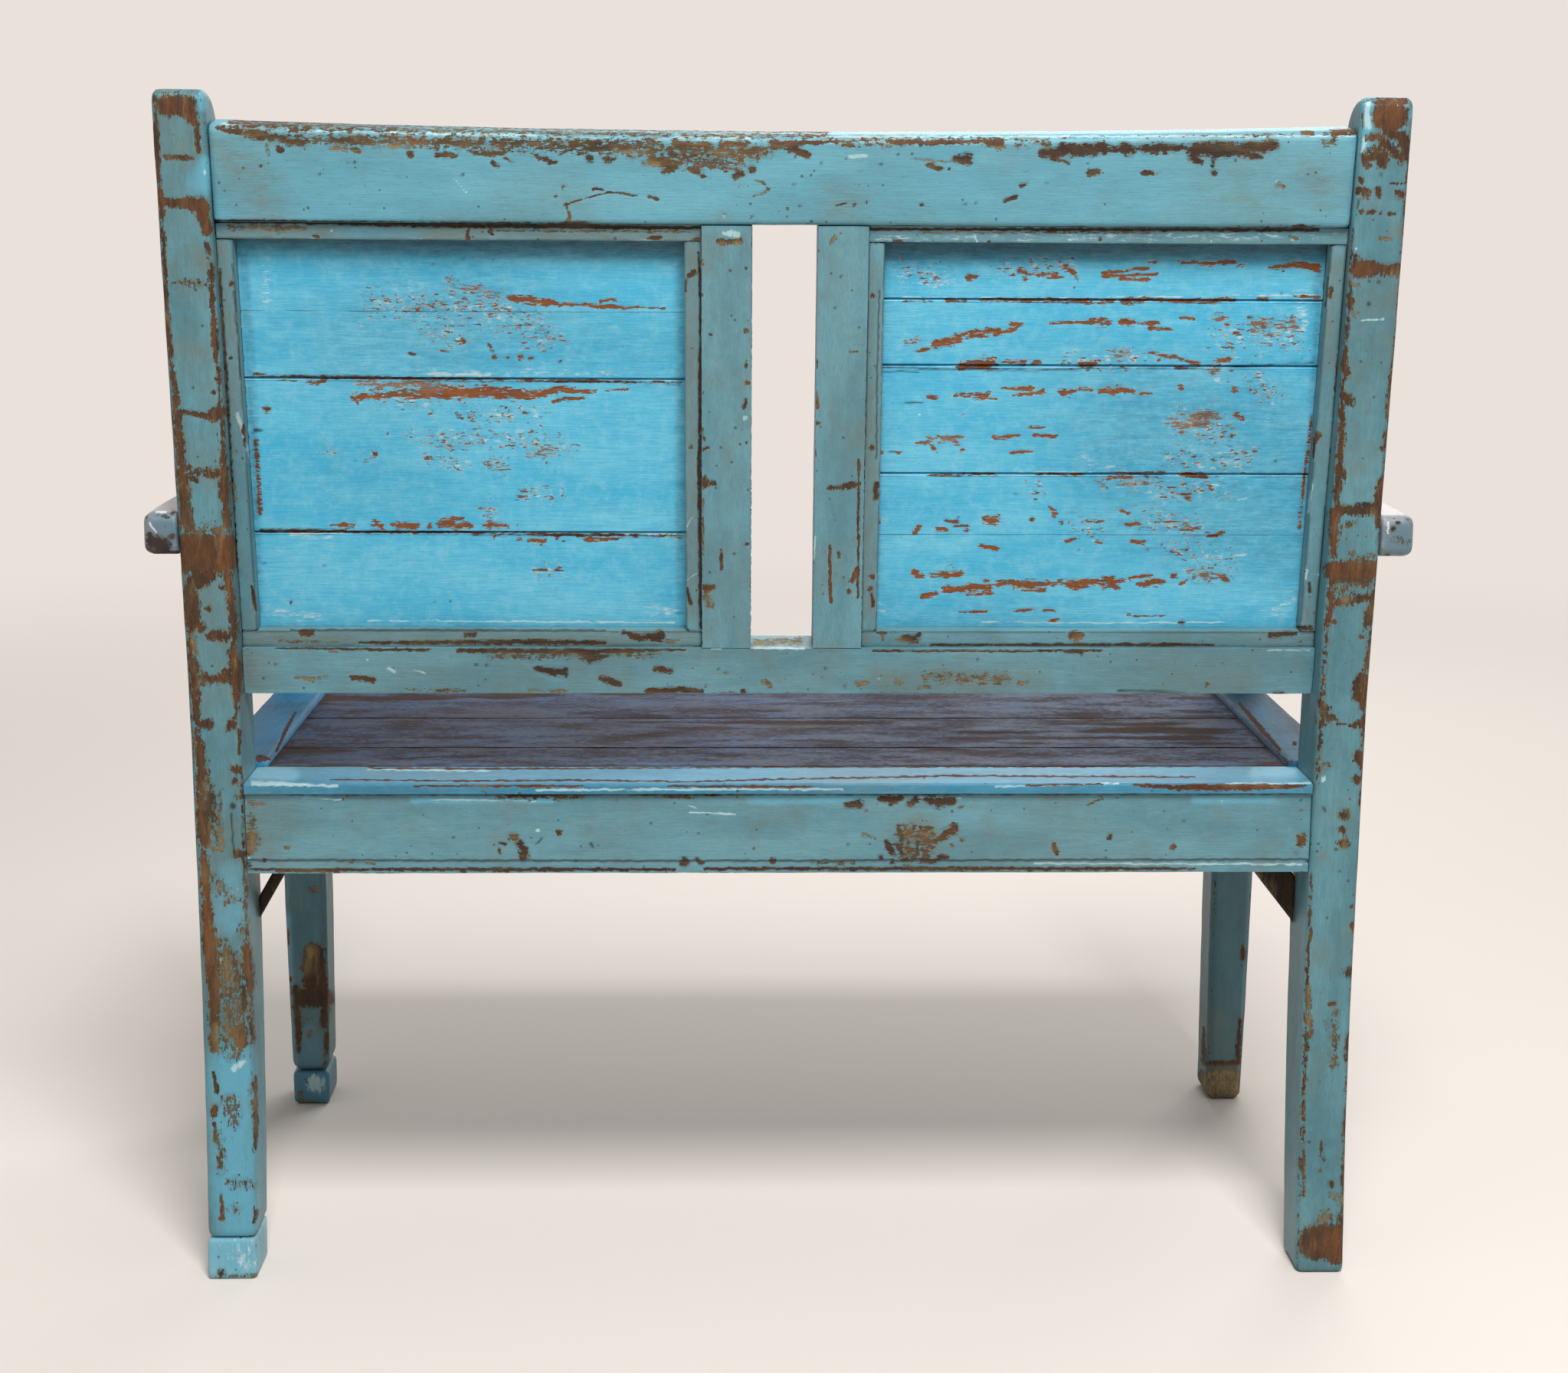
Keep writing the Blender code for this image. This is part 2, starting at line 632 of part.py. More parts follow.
def make_cleat(side, sign):
    """The batten on the inside of a side rail that carries the plank ends."""
    inner = sign * (SIDE_RAIL_INNER - CLEARANCE - CLEAT_WIDTH)
    outer = sign * (SIDE_RAIL_INNER - CLEARANCE)
    top = SEAT_UNDERSIDE - CLEARANCE
    low = (min(inner, outer), LEG_REAR + CLEARANCE, top - CLEAT_HEIGHT)
    high = (max(inner, outer), POST_FRONT - CLEARANCE, top)
    cleat = add_piece(f"seat_cleat_{side}", box(low, high), (BARE_TEAK, 0.8), (outer, 0, top))
    ease_edges(cleat, FRAME_EDGE, 1)


def make_bearer(rear_apron, front_apron):
    """The cross bearer under the middle of the planks, between the two aprons."""
    top = SEAT_UNDERSIDE - CLEARANCE
    rear = REAR - APRON_SETBACK - APRON_THICKNESS - CLEARANCE
    front = LEG_FRONT + APRON_SETBACK + APRON_THICKNESS + CLEARANCE
    half = BEARER_WIDTH / 2
    bm = box((-half, front, top - BEARER_HEIGHT), (half, rear, top))
    bearer = add_piece("seat_bearer", bm, (BARE_TEAK, 0.8), (0, 0, top))
    ease_edges(bearer, FRAME_EDGE, 1)
    width = BEARER_WIDTH - 2 * TENON_SHOULDER
    size = (width, BEARER_TENON, BEARER_HEIGHT - 2 * TENON_SHOULDER)
    level = top - BEARER_HEIGHT / 2
    tenon_joint(bearer, rear_apron, ((0, rear, level), (0, 1, 0)), size)
    tenon_joint(bearer, front_apron, ((0, front, level), (0, -1, 0)), size)


def make_seat_strip(name, edge, inward, depth, end):
    """A moulded strip along a long side of the seat, with a rounded nose."""
    top, bottom = SEAT_HEIGHT, SEAT_UNDERSIDE
    corners = [
        (edge, bottom, NOSE_ROUND / 2),
        (edge, top, NOSE_ROUND),
        (edge + inward * depth, top, PLANK_EDGE),
        (edge + inward * depth, bottom, 0),
    ]
    strip = along_x(rounded(corners, 4), -end, end)
    add_piece(name, strip, (SEAT_PAINT, 0.55), (0, edge, bottom))


def make_planks():
    """Three planks between the strips: a narrow one at the back and two equal ones."""
    end = END_BOARD_EDGE - CLEARANCE
    room = POST_FRONT - LEG_REAR
    wide = (room - NARROW_PLANK - 4 * PLANK_GAP) / 2
    rear = POST_FRONT - PLANK_GAP
    for number, width in enumerate((NARROW_PLANK, wide, wide), 1):
        bm = box((-end, rear - width, SEAT_UNDERSIDE), (end, rear, SEAT_HEIGHT))
        plank = add_piece(f"seat_plank_{number}", bm, (SEAT_WOOD, 0.7), (0, rear, SEAT_UNDERSIDE))
        ease_edges(plank, PLANK_EDGE, 2)
        rear -= width + PLANK_GAP


def make_end_board(side, sign):
    """The board along the end of the seat, a little proud of the planks."""
    top = SEAT_HEIGHT + END_BOARD_PROUD
    corners = [
        (sign * END_BOARD_EDGE, SEAT_UNDERSIDE, 0),
        (sign * END_BOARD_EDGE, top, END_BOARD_ROUND),
        (sign * HALF, top, END_BOARD_ROUND),
        (sign * HALF, SEAT_UNDERSIDE, PLANK_EDGE),
    ]
    bm = along_y(rounded(corners, 4), LEG_REAR + CLEARANCE, POST_FRONT - CLEARANCE)
    origin = (sign * HALF, POST_FRONT, SEAT_UNDERSIDE)
    add_piece(f"seat_end_board_{side}", bm, (SEAT_PAINT, 0.55), origin)


def arm_outline(sign):
    """The plan of an arm: bowed outer edge, round front, tail beside the post."""
    front = LEG_FRONT - ARM_FRONT_OVERHANG
    tail = REAR + post_lean(ARM_TOP) - ARM_REAR_SETBACK
    out = HALF + ARM_OUTSIDE
    length = tail - front
    nose = out - ARM_NOSE_TUCK
    outer = smooth_through(
        [
            Vector((out, tail)),
            Vector((out + ARM_BULGE, tail - 0.2 * length)),
            Vector((out, tail - 0.55 * length)),
            Vector((nose, front + ARM_END_ROUND)),
        ]
    )
    inner = nose - ARM_FRONT_WIDTH
    waist = smooth_through(
        [
            Vector((inner, front + ARM_END_ROUND)),
            Vector((inner + ARM_WAIST, front + 0.35 * length)),
            Vector((INNER, POST_FRONT - ARM_NECK)),
        ]
    )
    corners = [(point.x, point.y, 0) for point in outer[:-1]]
    corners += [(nose, front, ARM_END_ROUND), (inner, front, ARM_END_ROUND)]
    corners += [(point.x, point.y, 0) for point in waist[1:]]
    corners += [(INNER, tail, 0)]
    return [(sign * point.x, point.y) for point in rounded(corners, 6)]


def make_arm(side, sign, post, leg):
    """An arm, let round the post behind and tenoned on to the front leg."""
    bottom = ARM_TOP - ARM_THICKNESS
    bm = swept([(x, y, bottom) for x, y in arm_outline(sign)], (0, 0, ARM_THICKNESS))
    arm = add_piece(f"arm_{side}", bm, (ARM_PAINT, 0.65), (sign * HALF, REAR, ARM_TOP))
    ease_edges(arm, ARM_EDGE_ROUND, 3)
    grown = post_outline(BEND_START, BENCH_HEIGHT, CLEARANCE)
    housing = along_x(grown, sign * (INNER - OVERLAP - ARM_EDGE_ROUND), sign * (HALF + CLEARANCE))
    combine(arm, add_helper(f"arm_{side}_housing", housing), "DIFFERENCE")
    level = ARM_TOP - ARM_THICKNESS / 2
    face = REAR + post_lean(level) - post_depth(level)
    width, length, height = ARM_TENON
    middle = sign * (HALF - POST_WIDTH / 2)
    shoulder = (middle, face - OVERLAP, level)
    tenon_joint(arm, post, (shoulder, (0, 1, 0)), (width, length + OVERLAP, height))
    across, deep, high = LEG_TENON
    seat = (sign * (HALF - LEG_WIDTH / 2), (LEG_FRONT + LEG_REAR) / 2, bottom - CLEARANCE)
    tenon_joint(leg, arm, (seat, (0, 0, 1)), (across, deep, high))


def make_brace(side, sign, post_face, brace):
    """A rough diagonal strut from the post up to the underside of the seat."""
    slope, width, low = brace
    top = SEAT_UNDERSIDE - CLEARANCE
    high = low + width / math.cos(slope)
    run = 1 / math.tan(slope)
    outline = [
        (sign * post_face, low),
        (sign * (post_face - (top - low) * run), top),
        (sign * (post_face - (top - high) * run), top),
        (sign * post_face, high),
    ]
    rear = POST_FRONT + BRACE_REVEAL + BRACE_DEPTH
    bm = along_y(outline, rear - BRACE_DEPTH, rear)
    origin = (sign * post_face, rear, low)
    ease_edges(add_piece(f"knee_brace_{side}", bm, (DARK_TEAK, 0.85), origin), BRACE_ARRIS, 1)


def make_frame(frame):
    """Posts, legs and the back and seat frames, with the joints between them."""
    posts = [make_rear_post(side, sign) for side, sign in SIDES]
    legs = [make_front_leg(side, sign) for side, sign in SIDES]
    make_rear_foot(*SIDES[0])
    make_front_foot(*SIDES[0])
    rails = make_back_rails(frame, posts)
    for (side, sign), post, boards in zip(SIDES, posts, (LEFT_BOARDS, RIGHT_BOARDS)):
        stile = make_stile(side, sign, frame, rails)
        cut_panel_grooves(side, sign, frame, (post, stile, *rails))
        make_panel(side, sign, frame, boards)
        make_beads(side, sign, frame)
    rear_apron = make_apron("rear_apron", REAR - APRON_SETBACK, -1, INNER - CLEARANCE, posts)
    leg_inner = HALF - LEG_WIDTH
    front_face = LEG_FRONT + APRON_SETBACK
    front_apron = make_apron("front_apron", front_face, 1, leg_inner - CLEARANCE, legs)
    make_bearer(rear_apron, front_apron)
    return posts, legs


def make_seat():
    end = INNER - CLEARANCE
    rear_depth = POST_DEPTH_SEAT - STRIP_INSET
    make_seat_strip("rear_seat_strip", REAR - STRIP_INSET, -1, rear_depth, end)
    front_edge = LEG_FRONT - FRONT_OVERHANG
    front_end = HALF - LEG_WIDTH - CLEARANCE
    front_depth = LEG_DEPTH + FRONT_OVERHANG
    make_seat_strip("front_seat_strip", front_edge, 1, front_depth, front_end)
    make_planks()


def main():
    clear_scene()
    posts, legs = make_frame(back_frame())
    make_seat()
    braces = (LEFT_BRACE, RIGHT_BRACE)
    for (side, sign), post, leg, brace in zip(SIDES, posts, legs, braces):
        make_side_rail(side, sign, post, leg)
        make_cleat(side, sign)
        make_end_board(side, sign)
        make_arm(side, sign, post, leg)
        make_brace(side, sign, INNER - CLEARANCE, brace)


main()
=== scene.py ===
import json
import math

import bpy
import numpy as np
from mathutils import Matrix, Vector


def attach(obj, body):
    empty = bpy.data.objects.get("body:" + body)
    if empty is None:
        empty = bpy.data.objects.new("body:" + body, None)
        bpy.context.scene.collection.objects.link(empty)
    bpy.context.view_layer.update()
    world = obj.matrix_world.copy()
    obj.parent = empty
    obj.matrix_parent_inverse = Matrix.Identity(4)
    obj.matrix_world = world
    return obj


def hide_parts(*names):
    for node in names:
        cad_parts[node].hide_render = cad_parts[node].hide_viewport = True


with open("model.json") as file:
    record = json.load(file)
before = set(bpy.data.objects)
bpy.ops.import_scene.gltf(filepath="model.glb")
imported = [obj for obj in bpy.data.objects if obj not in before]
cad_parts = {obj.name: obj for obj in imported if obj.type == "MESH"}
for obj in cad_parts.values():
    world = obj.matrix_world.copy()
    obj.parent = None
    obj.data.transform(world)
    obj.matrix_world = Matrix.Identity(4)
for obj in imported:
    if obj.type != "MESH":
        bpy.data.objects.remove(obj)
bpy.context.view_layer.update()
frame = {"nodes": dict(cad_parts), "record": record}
NODES = frame["nodes"]

# The photograph's frame, and the camera that was fitted to it: place, turns and focal length.
PHOTO_WIDTH = 2047
PHOTO_HEIGHT = 1792
CAMERA_PLACE = (0.053, 2.28, 0.948)
CAMERA_YAW = -0.0266
CAMERA_PITCH = 0.1971
CAMERA_ROLL = -0.0056
FOCAL_PIXELS = 3171.7
SENSOR_WIDTH = 36.0

# How fine the skin of a worn piece is made, before it is made finer round its marks.
CELL = 0.0019
FINE_CELL = 0.0015
BOARD_CELL = 0.002

# Along the bench, up the posts, and front to back: the way that a piece's grain runs.
LEVEL = (0.16, 1.0, 1.0)
UPRIGHT = (1.0, 1.0, 0.16)
DEEP = (1.0, 0.16, 1.0)

# How far a mark's edge fades, in the photograph's pixels, and how far it wanders.
SOFT_EDGE = 6.0
WANDER = 0.7

# The saw marks on the panels lie this many pixels apart in the photograph.
SAW_MARKS = 17.0

# Faces this near the edge of a mark, in the photograph's pixels, are halved.
FINE_WITHIN = 2.6

# Panel joints that the paint has closed: their heights in the photograph, how near a board's
# edge comes to that height, in pixels, and how far the board above then reaches down, in metres.
CLOSED_JOINTS = {"left": 401, "right": 694}
JOINT_WITHIN = 9
CLOSING = 0.0033

# How far a skin's rounded arris lies from the flat faces that it is drawn out to, in cells, and
# the smallest area of such a face, in square metres.
BOARD_REACH = 1.4
ARRIS_REACH = 1.3
FLAT_AREA = 0.00006

# Pieces whose arrises are drawn out again, and those whose skin isn't coarser along the grain.
CRISP = ("bead", "stile", "lower", "apron", "strip", "plank_")
EVEN = ("bead", "stile")

# The top rail's edge is worn down and the seat's moulding is thinner than its solid, within a
# band below the top, in metres.
WORN_DOWN = 0.004
MOULDING_LIFT = 0.006
BAND = 0.03

# The stage: the floor fades between two distances, in metres. Lamps: place, size and watts.
FLOOR_COLOUR = "dcd4cc"
BACKGROUND = "ebe1db"
FLOOR_RADIUS = 6.0
FLOOR_FADE = (1.0, 4.5)
WORLD_STRENGTH = 0.4
LAMPS = {
    "rear_softbox": ((-0.3, 2.1, 3.2), 1.1, 132),
    "front_softbox": ((-1.0, -2.8, 2.6), 2.4, 60),
}
LAMPS_AIM = (0, 0, 0.6)


def linear(hex_colour):
    """An sRGB hex colour as the linear colour that a shader takes."""
    channels = [int(hex_colour[i : i + 2], 16) / 255 for i in (0, 2, 4)]
    return (*[((c + 0.055) / 1.055) ** 2.4 if c > 0.04045 else c / 12.92 for c in channels], 1.0)


def camera_axes():
    """Right, down and forward of the photograph's camera."""
    turn = Matrix.Rotation(CAMERA_YAW, 3, "Z")
    right, down, ahead = (turn @ Vector(v) for v in ((-1, 0, 0), (0, 0, -1), (0, -1, 0)))
    c, s = math.cos(CAMERA_PITCH), math.sin(CAMERA_PITCH)
    ahead, down = c * ahead + s * down, c * down - s * ahead
    c, s = math.cos(CAMERA_ROLL), math.sin(CAMERA_ROLL)
    right, down = c * right + s * down, c * down - s * right
    return right, down, ahead


def add_camera():
    right, down, ahead = camera_axes()
    camera = bpy.data.objects.new("camera", bpy.data.cameras.new("camera"))
    bpy.context.scene.collection.objects.link(camera)
    turn = Matrix((right, -down, -ahead)).transposed().to_4x4()
    camera.matrix_world = Matrix.Translation(CAMERA_PLACE) @ turn
    camera.data.sensor_width = SENSOR_WIDTH
    camera.data.lens = FOCAL_PIXELS / PHOTO_WIDTH * SENSOR_WIDTH
    bpy.context.scene.camera = camera


def to_pixels(points):
    """Where points of the bench lie in the photograph, as an array of (x, y)."""
    right, down, ahead = (np.array(axis) for axis in camera_axes())
    seen = points - np.array(CAMERA_PLACE)
    depth = seen @ ahead
    across = PHOTO_WIDTH / 2 + FOCAL_PIXELS * (seen @ right) / depth
    return np.stack([across, PHOTO_HEIGHT / 2 + FOCAL_PIXELS * (seen @ down) / depth], axis=1)


def add_node(tree, kind, inputs, **settings):
    """One shader node: its inputs are values or other nodes' outputs, by name or number."""
    node = tree.nodes.new(kind)
    for name, value in settings.items():
        setattr(node, name, value)
    for socket, value in inputs.items():
        if isinstance(value, bpy.types.NodeSocket):
            tree.links.new(value, node.inputs[socket])
        else:
            node.inputs[socket].default_value = value
    return node


def blend_colour(tree, mask, under, over):
    under = linear(under) if isinstance(under, str) else under
    over = linear(over) if isinstance(over, str) else over
    inputs = {0: mask, 6: under, 7: over}
    return add_node(tree, "ShaderNodeMix", inputs, data_type="RGBA").outputs[2]


def sums(tree, operation, first, second, third=None):
    inputs = {0: first, 1: second}
    if third is not None:
        inputs[2] = third
    return add_node(tree, "ShaderNodeMath", inputs, operation=operation).outputs[0]


def step_between(tree, value, low, high):
    """0 below low, 1 above high, and smooth between them."""
    inputs = {"Value": value, "From Min": low, "From Max": high}
    kind = "ShaderNodeMapRange"
    return add_node(tree, kind, inputs, interpolation_type="SMOOTHSTEP").outputs[0]


# The near-black of cracks and dark joints, and of the painted shadows under the top rail and the top
# beads.
CRACK_AND_SHADOW_COLOUR = "1a110d"


def painted_teak(name, grain, looks):
    """Brushed oil paint, worn through to teak where the wear attribute says so.

    The eye sees ragged chips with broken pale rims and stained paint round them, pale rubs and
    painted highlights, dirt and painted shade, specks and brush streaks.
    """
    made = bpy.data.materials.new(name)
    made.use_nodes = True
    tree = made.node_tree
    shader = tree.nodes["Principled BSDF"]
    place = add_node(tree, "ShaderNodeTexCoord", {}).outputs["Object"]

    def stretched(share):
        scale = tuple(share if v < 1 else v for v in grain)
        return add_node(tree, "ShaderNodeMapping", {"Vector": place, "Scale": scale}).outputs[0]

    along, streaked = stretched(0.25), stretched(0.05)

    def cloud(vector, scale, detail=3.0, roughness=0.6, seed=0.0):
        inputs = {"Vector": vector, "Scale": scale, "Detail": detail, "Roughness": roughness, "W": seed}
        return add_node(tree, "ShaderNodeTexNoise", inputs, noise_dimensions="4D").outputs[0]

    def channels(attribute):
        wear = add_node(tree, "ShaderNodeAttribute", {}, attribute_name=attribute)
        parts = add_node(tree, "ShaderNodeSeparateColor", {0: wear.outputs["Color"]}).outputs
        return parts[0], parts[1], parts[2], wear.outputs["Alpha"]

    bare, pale, soil_and_shade, warm = channels("wear")
    dark, fresh, ochre, _ = channels("tone")

    def share(mask, amount):
        return sums(tree, "MULTIPLY", mask, amount)

    def veil(vector, scale, detail, roughness, seed, low, high):
        return step_between(tree, cloud(vector, scale, detail, roughness, seed), low, high)

    def cover(under, mask, amount, over):
        return blend_colour(tree, share(mask, amount), under, over)

    # The worn edge is broken by fine and coarse noise, only where a piece is marked.
    coarse = cloud(stretched(looks["run"]), looks["coarse"], 5, 0.75, 3)
    broken = sums(tree, "ADD", cloud(along, 560, 4, 0.75), coarse)
    broken = sums(tree, "MULTIPLY_ADD", broken, looks["ragged"], -looks["ragged"])
    marked = step_between(tree, bare, 0.0, 0.22)
    field = sums(tree, "MULTIPLY_ADD", marked, broken, bare)
    chip = step_between(tree, field, 0.5 - looks["fade"], 0.5 + looks["fade"])
    patchy = veil(place, 130, 3, 0.6, 41, 0.4, 0.6)
    rim = share(step_between(tree, field, looks["rim_from"], 0.47), share(patchy, looks["rim_share"]))
    halo = sums(tree, "MULTIPLY_ADD", cloud(along, 240, 4, 0.7, 43), 0.8, bare)
    halo = share(share(step_between(tree, share(halo, marked), 0.5, 0.95), patchy), looks["halo"])

    blotch = veil(along, 26, 5, 0.65, 7, 0.36, 0.64)
    paint = blend_colour(tree, blotch, looks["paint"], looks["paint_light"])
    streak = veil(streaked, 760, 4, 0.75, 11, 0.36, 0.68)
    paint = cover(paint, streak, looks["streaks"], looks["paint_dark"])
    mottle = veil(place, 95, 5, 0.75, 13, 0.42, 0.7)
    paint = cover(paint, mottle, looks["mottle"], looks["fresh"])
    clean = sums(tree, "MULTIPLY_ADD", cloud(along, 40, 4, 0.7, 15), 0.9, fresh)
    clean = step_between(tree, clean, 0.55, 1.3)
    paint = cover(paint, clean, 0.9, looks["fresh"])
    # Pale rubs, and painted highlights along some edges.
    rub_and_highlight = sums(tree, "MULTIPLY_ADD", cloud(along, 330, 5, 0.8, 5), 2.2, sums(tree, "SUBTRACT", pale, 1.1))
    rub_and_highlight = share(step_between(tree, rub_and_highlight, 0.42, 0.75), step_between(tree, pale, 0.0, 0.2))
    paint = cover(paint, rub_and_highlight, 0.8, looks["rub_and_highlight"])
    # Dirt and painted shade: the soil channel darkens the paint towards the soil colour.
    haze = share(soil_and_shade, veil(along, 210, 5, 0.8, 9, 0.38, 0.66))
    paint = cover(paint, haze, 0.62, looks["soil_and_shade"])
    paint = cover(paint, soil_and_shade, 0.3, looks["soil_and_shade"])
    grime = veil(place, 18, 5, 0.7, 23, 0.46, 0.72)
    paint = cover(paint, grime, looks["grime"], looks["soil_and_shade"])
    paint = blend_colour(tree, halo, paint, looks["stain"])
    grit = veil(along, 480, 5, 0.85, 61, 0.53, 0.7)
    paint = cover(paint, grit, looks["grit"], looks["stain"])
    dot = {"Vector": place, "Scale": 95.0, "Randomness": 1.0}
    dot = add_node(tree, "ShaderNodeTexVoronoi", dot).outputs["Distance"]
    dot_size = sums(tree, "MULTIPLY_ADD", cloud(place, 30, 3, 0.6, 29), 0.5, looks["specks"])
    dot = sums(tree, "LESS_THAN", dot, dot_size)
    paint = cover(paint, dot, 0.7, looks["speck"])

    grain_lines = veil(streaked, 1000, 4, 0.75, 17, 0.3, 0.7)
    wood = blend_colour(tree, grain_lines, looks["wood_dark"], looks["wood"])
    warmth = sums(tree, "MULTIPLY_ADD", grain_lines, 0.5, 0.4)
    wood = cover(wood, warm, warmth, looks["wood_warm"])
    wood = cover(wood, ochre, 0.75, looks["rim"])
    tan = veil(along, 85, 5, 0.7, 51, 0.5, 0.68)
    wood = cover(wood, tan, looks["wood_tan"], looks["rim"])
    burnt = veil(along, 34, 5, 0.7, 53, 0.42, 0.62)
    wood = cover(wood, burnt, looks["wood_burnt"], looks["wood_dark"])
    stain = veil(along, 110, 5, 0.7, 31, 0.44, 0.68)
    wood = cover(wood, stain, looks["wood_stain"], looks["wood_dark"])
    speck = veil(place, 620, 4, 0.75, 19, 0.54, 0.66)
    wood = cover(wood, speck, 0.7, looks["wood_dark"])
    lip = sums(tree, "SUBTRACT", 1.0, step_between(tree, field, 0.5, 0.6))
    wood = cover(wood, lip, 0.6, looks["wood_dark"])
    colour = blend_colour(tree, rim, paint, looks["rim"])
    colour = blend_colour(tree, chip, colour, wood)
    colour = cover(colour, dark, 0.92, CRACK_AND_SHADOW_COLOUR)
    tree.links.new(colour, shader.inputs["Base Color"])

    rough = sums(tree, "MULTIPLY_ADD", chip, 0.3, looks["roughness"])
    rough = sums(tree, "MULTIPLY_ADD", streak, 0.1, rough)
    tree.links.new(rough, shader.inputs["Roughness"])
    shader.inputs["Specular IOR Level"].default_value = looks["gloss"]

    height = share(chip, sums(tree, "MULTIPLY_ADD", grain_lines, 0.6, -1.6))
    height = sums(tree, "MULTIPLY_ADD", streak, 0.3, height)
    height = sums(tree, "MULTIPLY_ADD", mottle, 0.3, height)
    bump = add_node(tree, "ShaderNodeBump", {"Height": height, "Strength": 1.0, "Distance": 0.0003})
    tree.links.new(bump.outputs[0], shader.inputs["Normal"])
    return made


FRAME_LOOKS = {
    "paint": "4f7a84",
    "paint_light": "628f99",
    "paint_dark": "44707a",
    "fresh": "5b9cb0",
    "streaks": 0.4,
    "mottle": 0.2,
    "grit": 0.4,
    "run": 1.0,
    "coarse": 190,
    "fade": 0.015,
    "gloss": 0.4,
    "rub_and_highlight": "a9c4c6",
    # Colour of dirt, and of the painted shade in the beads' corners.
    "soil_and_shade": "63695c",
    "grime": 0.45,
    "stain": "454a3c",
    "halo": 0.5,
    "speck": "3a3325",
    "specks": -0.175,
    "wood": "60401f",
    "wood_dark": "24170d",
    "wood_warm": "74451d",
    "wood_stain": 0.7,
    "wood_tan": 0.4,
    "wood_burnt": 0.55,
    "rim": "a08d5e",
    "rim_from": 0.42,
    "rim_share": 0.8,
    "ragged": 2.0,
    "roughness": 0.42,
}
POST_LOOKS = dict(FRAME_LOOKS, paint="466f77", paint_light="5a8891", paint_dark="38616a", fresh="5599ae")
FOOT_LOOKS = dict(FRAME_LOOKS, paint="8bb1bb", paint_light="a0c1c7", paint_dark="74a0ac", rub_and_highlight="c6d6d8")
# The front legs' and feet's paint is darker than the posts': partly their own paint, partly painted shade
# from under the seat.
LEG_PAINT_AND_SHADE_LOOKS = dict(POST_LOOKS, paint="365c64", paint_light="426a72", paint_dark="2c5159", fresh="3f7890")
RAIL_LOOKS = dict(FRAME_LOOKS, paint="5490a0", paint_light="639fad", paint_dark="488494", grime=0.25)
PANEL_LOOKS = dict(
    FRAME_LOOKS,
    paint="40a5c4",
    paint_light="60b3ca",
    paint_dark="2791ba",
    fresh="8fc4cd",
    streaks=0.55,
    mottle=0.3,
    rub_and_highlight="b9cdcb",
    # The dark blue of the panels' painted shadow and shade, and of their dirt.
    soil_and_shade="0f4a62",
    grime=0.0,
    stain="2f87a6",
    halo=0.3,
    specks=-0.27,
    grit=0.1,
    run=0.22,
    coarse=420,
    rim="aab9b0",
    rim_from=0.31,
    rim_share=0.95,
    ragged=2.9,
    wood="864a1d",
    wood_dark="4e2911",
    wood_warm="8c4d1b",
    wood_stain=0.35,
    wood_tan=0.0,
    wood_burnt=0.25,
)
STRIP_LOOKS = dict(
    FRAME_LOOKS,
    paint="337590",
    paint_light="4387a1",
    paint_dark="2b627d",
    fresh="66a0b6",
    grime=0.2,
    grit=0.2,
    run=0.3,
    gloss=0.2,
    wood="6d3f2b",
    wood_dark="3a211a",
)
# Planks that have lost nearly all their paint: grey-brown wood with violet-blue traces.
PLANK_LOOKS = dict(
    FRAME_LOOKS,
    paint="3b4c6c",
    paint_light="2f5a8c",
    paint_dark="3c4258",
    fresh="2b5c8a",
    rub_and_highlight="5c6680",
    soil_and_shade="3c3232",
    rim="4a4652",
    wood="513d35",
    wood_dark="372b29",
    wood_warm="604032",
    wood_stain=0.3,
    wood_tan=0.15,
    wood_burnt=0.15,
    run=0.3,
    coarse=36,
    fade=0.16,
    ragged=1.1,
    grit=0.15,
    gloss=0.15,
    roughness=0.5,
)
END_BOARD_LOOKS = dict(
    PLANK_LOOKS,
    paint="3585b2",
    paint_light="3e98c2",
    paint_dark="306896",
    fresh="3a83a8",
    wood="653d31",
    wood_dark="3a2823",
    fade=0.05,
)
FAR_END_LOOKS = dict(END_BOARD_LOOKS, paint="33536c", paint_light="3a667e", paint_dark="304254")
# The arms' pale grey-pink paint is partly a painted reflection of the bright background on their tops,
# and partly their own worn paint.
ARM_PAINT_AND_SHEEN_LOOKS = dict(
    FRAME_LOOKS,
    paint="a59d9b",
    paint_light="b5adab",
    paint_dark="8f8786",
    fresh="456a78",
    rub_and_highlight="d5dadc",
    soil_and_shade="82736c",
    wood="46362f",
    wood_dark="231a16",
    rim="aeb0ac",
    roughness=0.32,
)
BARE_LOOKS = dict(FRAME_LOOKS, wood="7c5836", wood_dark="4f3520", wood_warm="8b6239")
DARK_LOOKS = dict(FRAME_LOOKS, wood="33200f", wood_dark="180e08", wood_warm="402814")


def back_lean():
    """The turn that stands the leaning back upright, from its largest board."""
    board = NODES["left_panel_board_2"].data
    face = max((p for p in board.polygons if p.normal.y > 0.9), key=lambda p: p.area)
    lean = math.atan2(face.normal.z, face.normal.y)
    return Matrix.Rotation(-lean, 4, "X")


def only(piece):
    """Makes a piece the only one selected, and the active one."""
    bpy.ops.object.select_all(action="DESELECT")
    piece.select_set(True)
    bpy.context.view_layer.objects.active = piece


def turn_of(stand):
    """The turn that stands a leaning piece upright, as an array."""
    return np.array(stand.to_3x3()) if stand else np.eye(3)


def write_points(mesh, points):
    mesh.vertices.foreach_set("co", points.astype(np.float32).ravel())
    mesh.update()


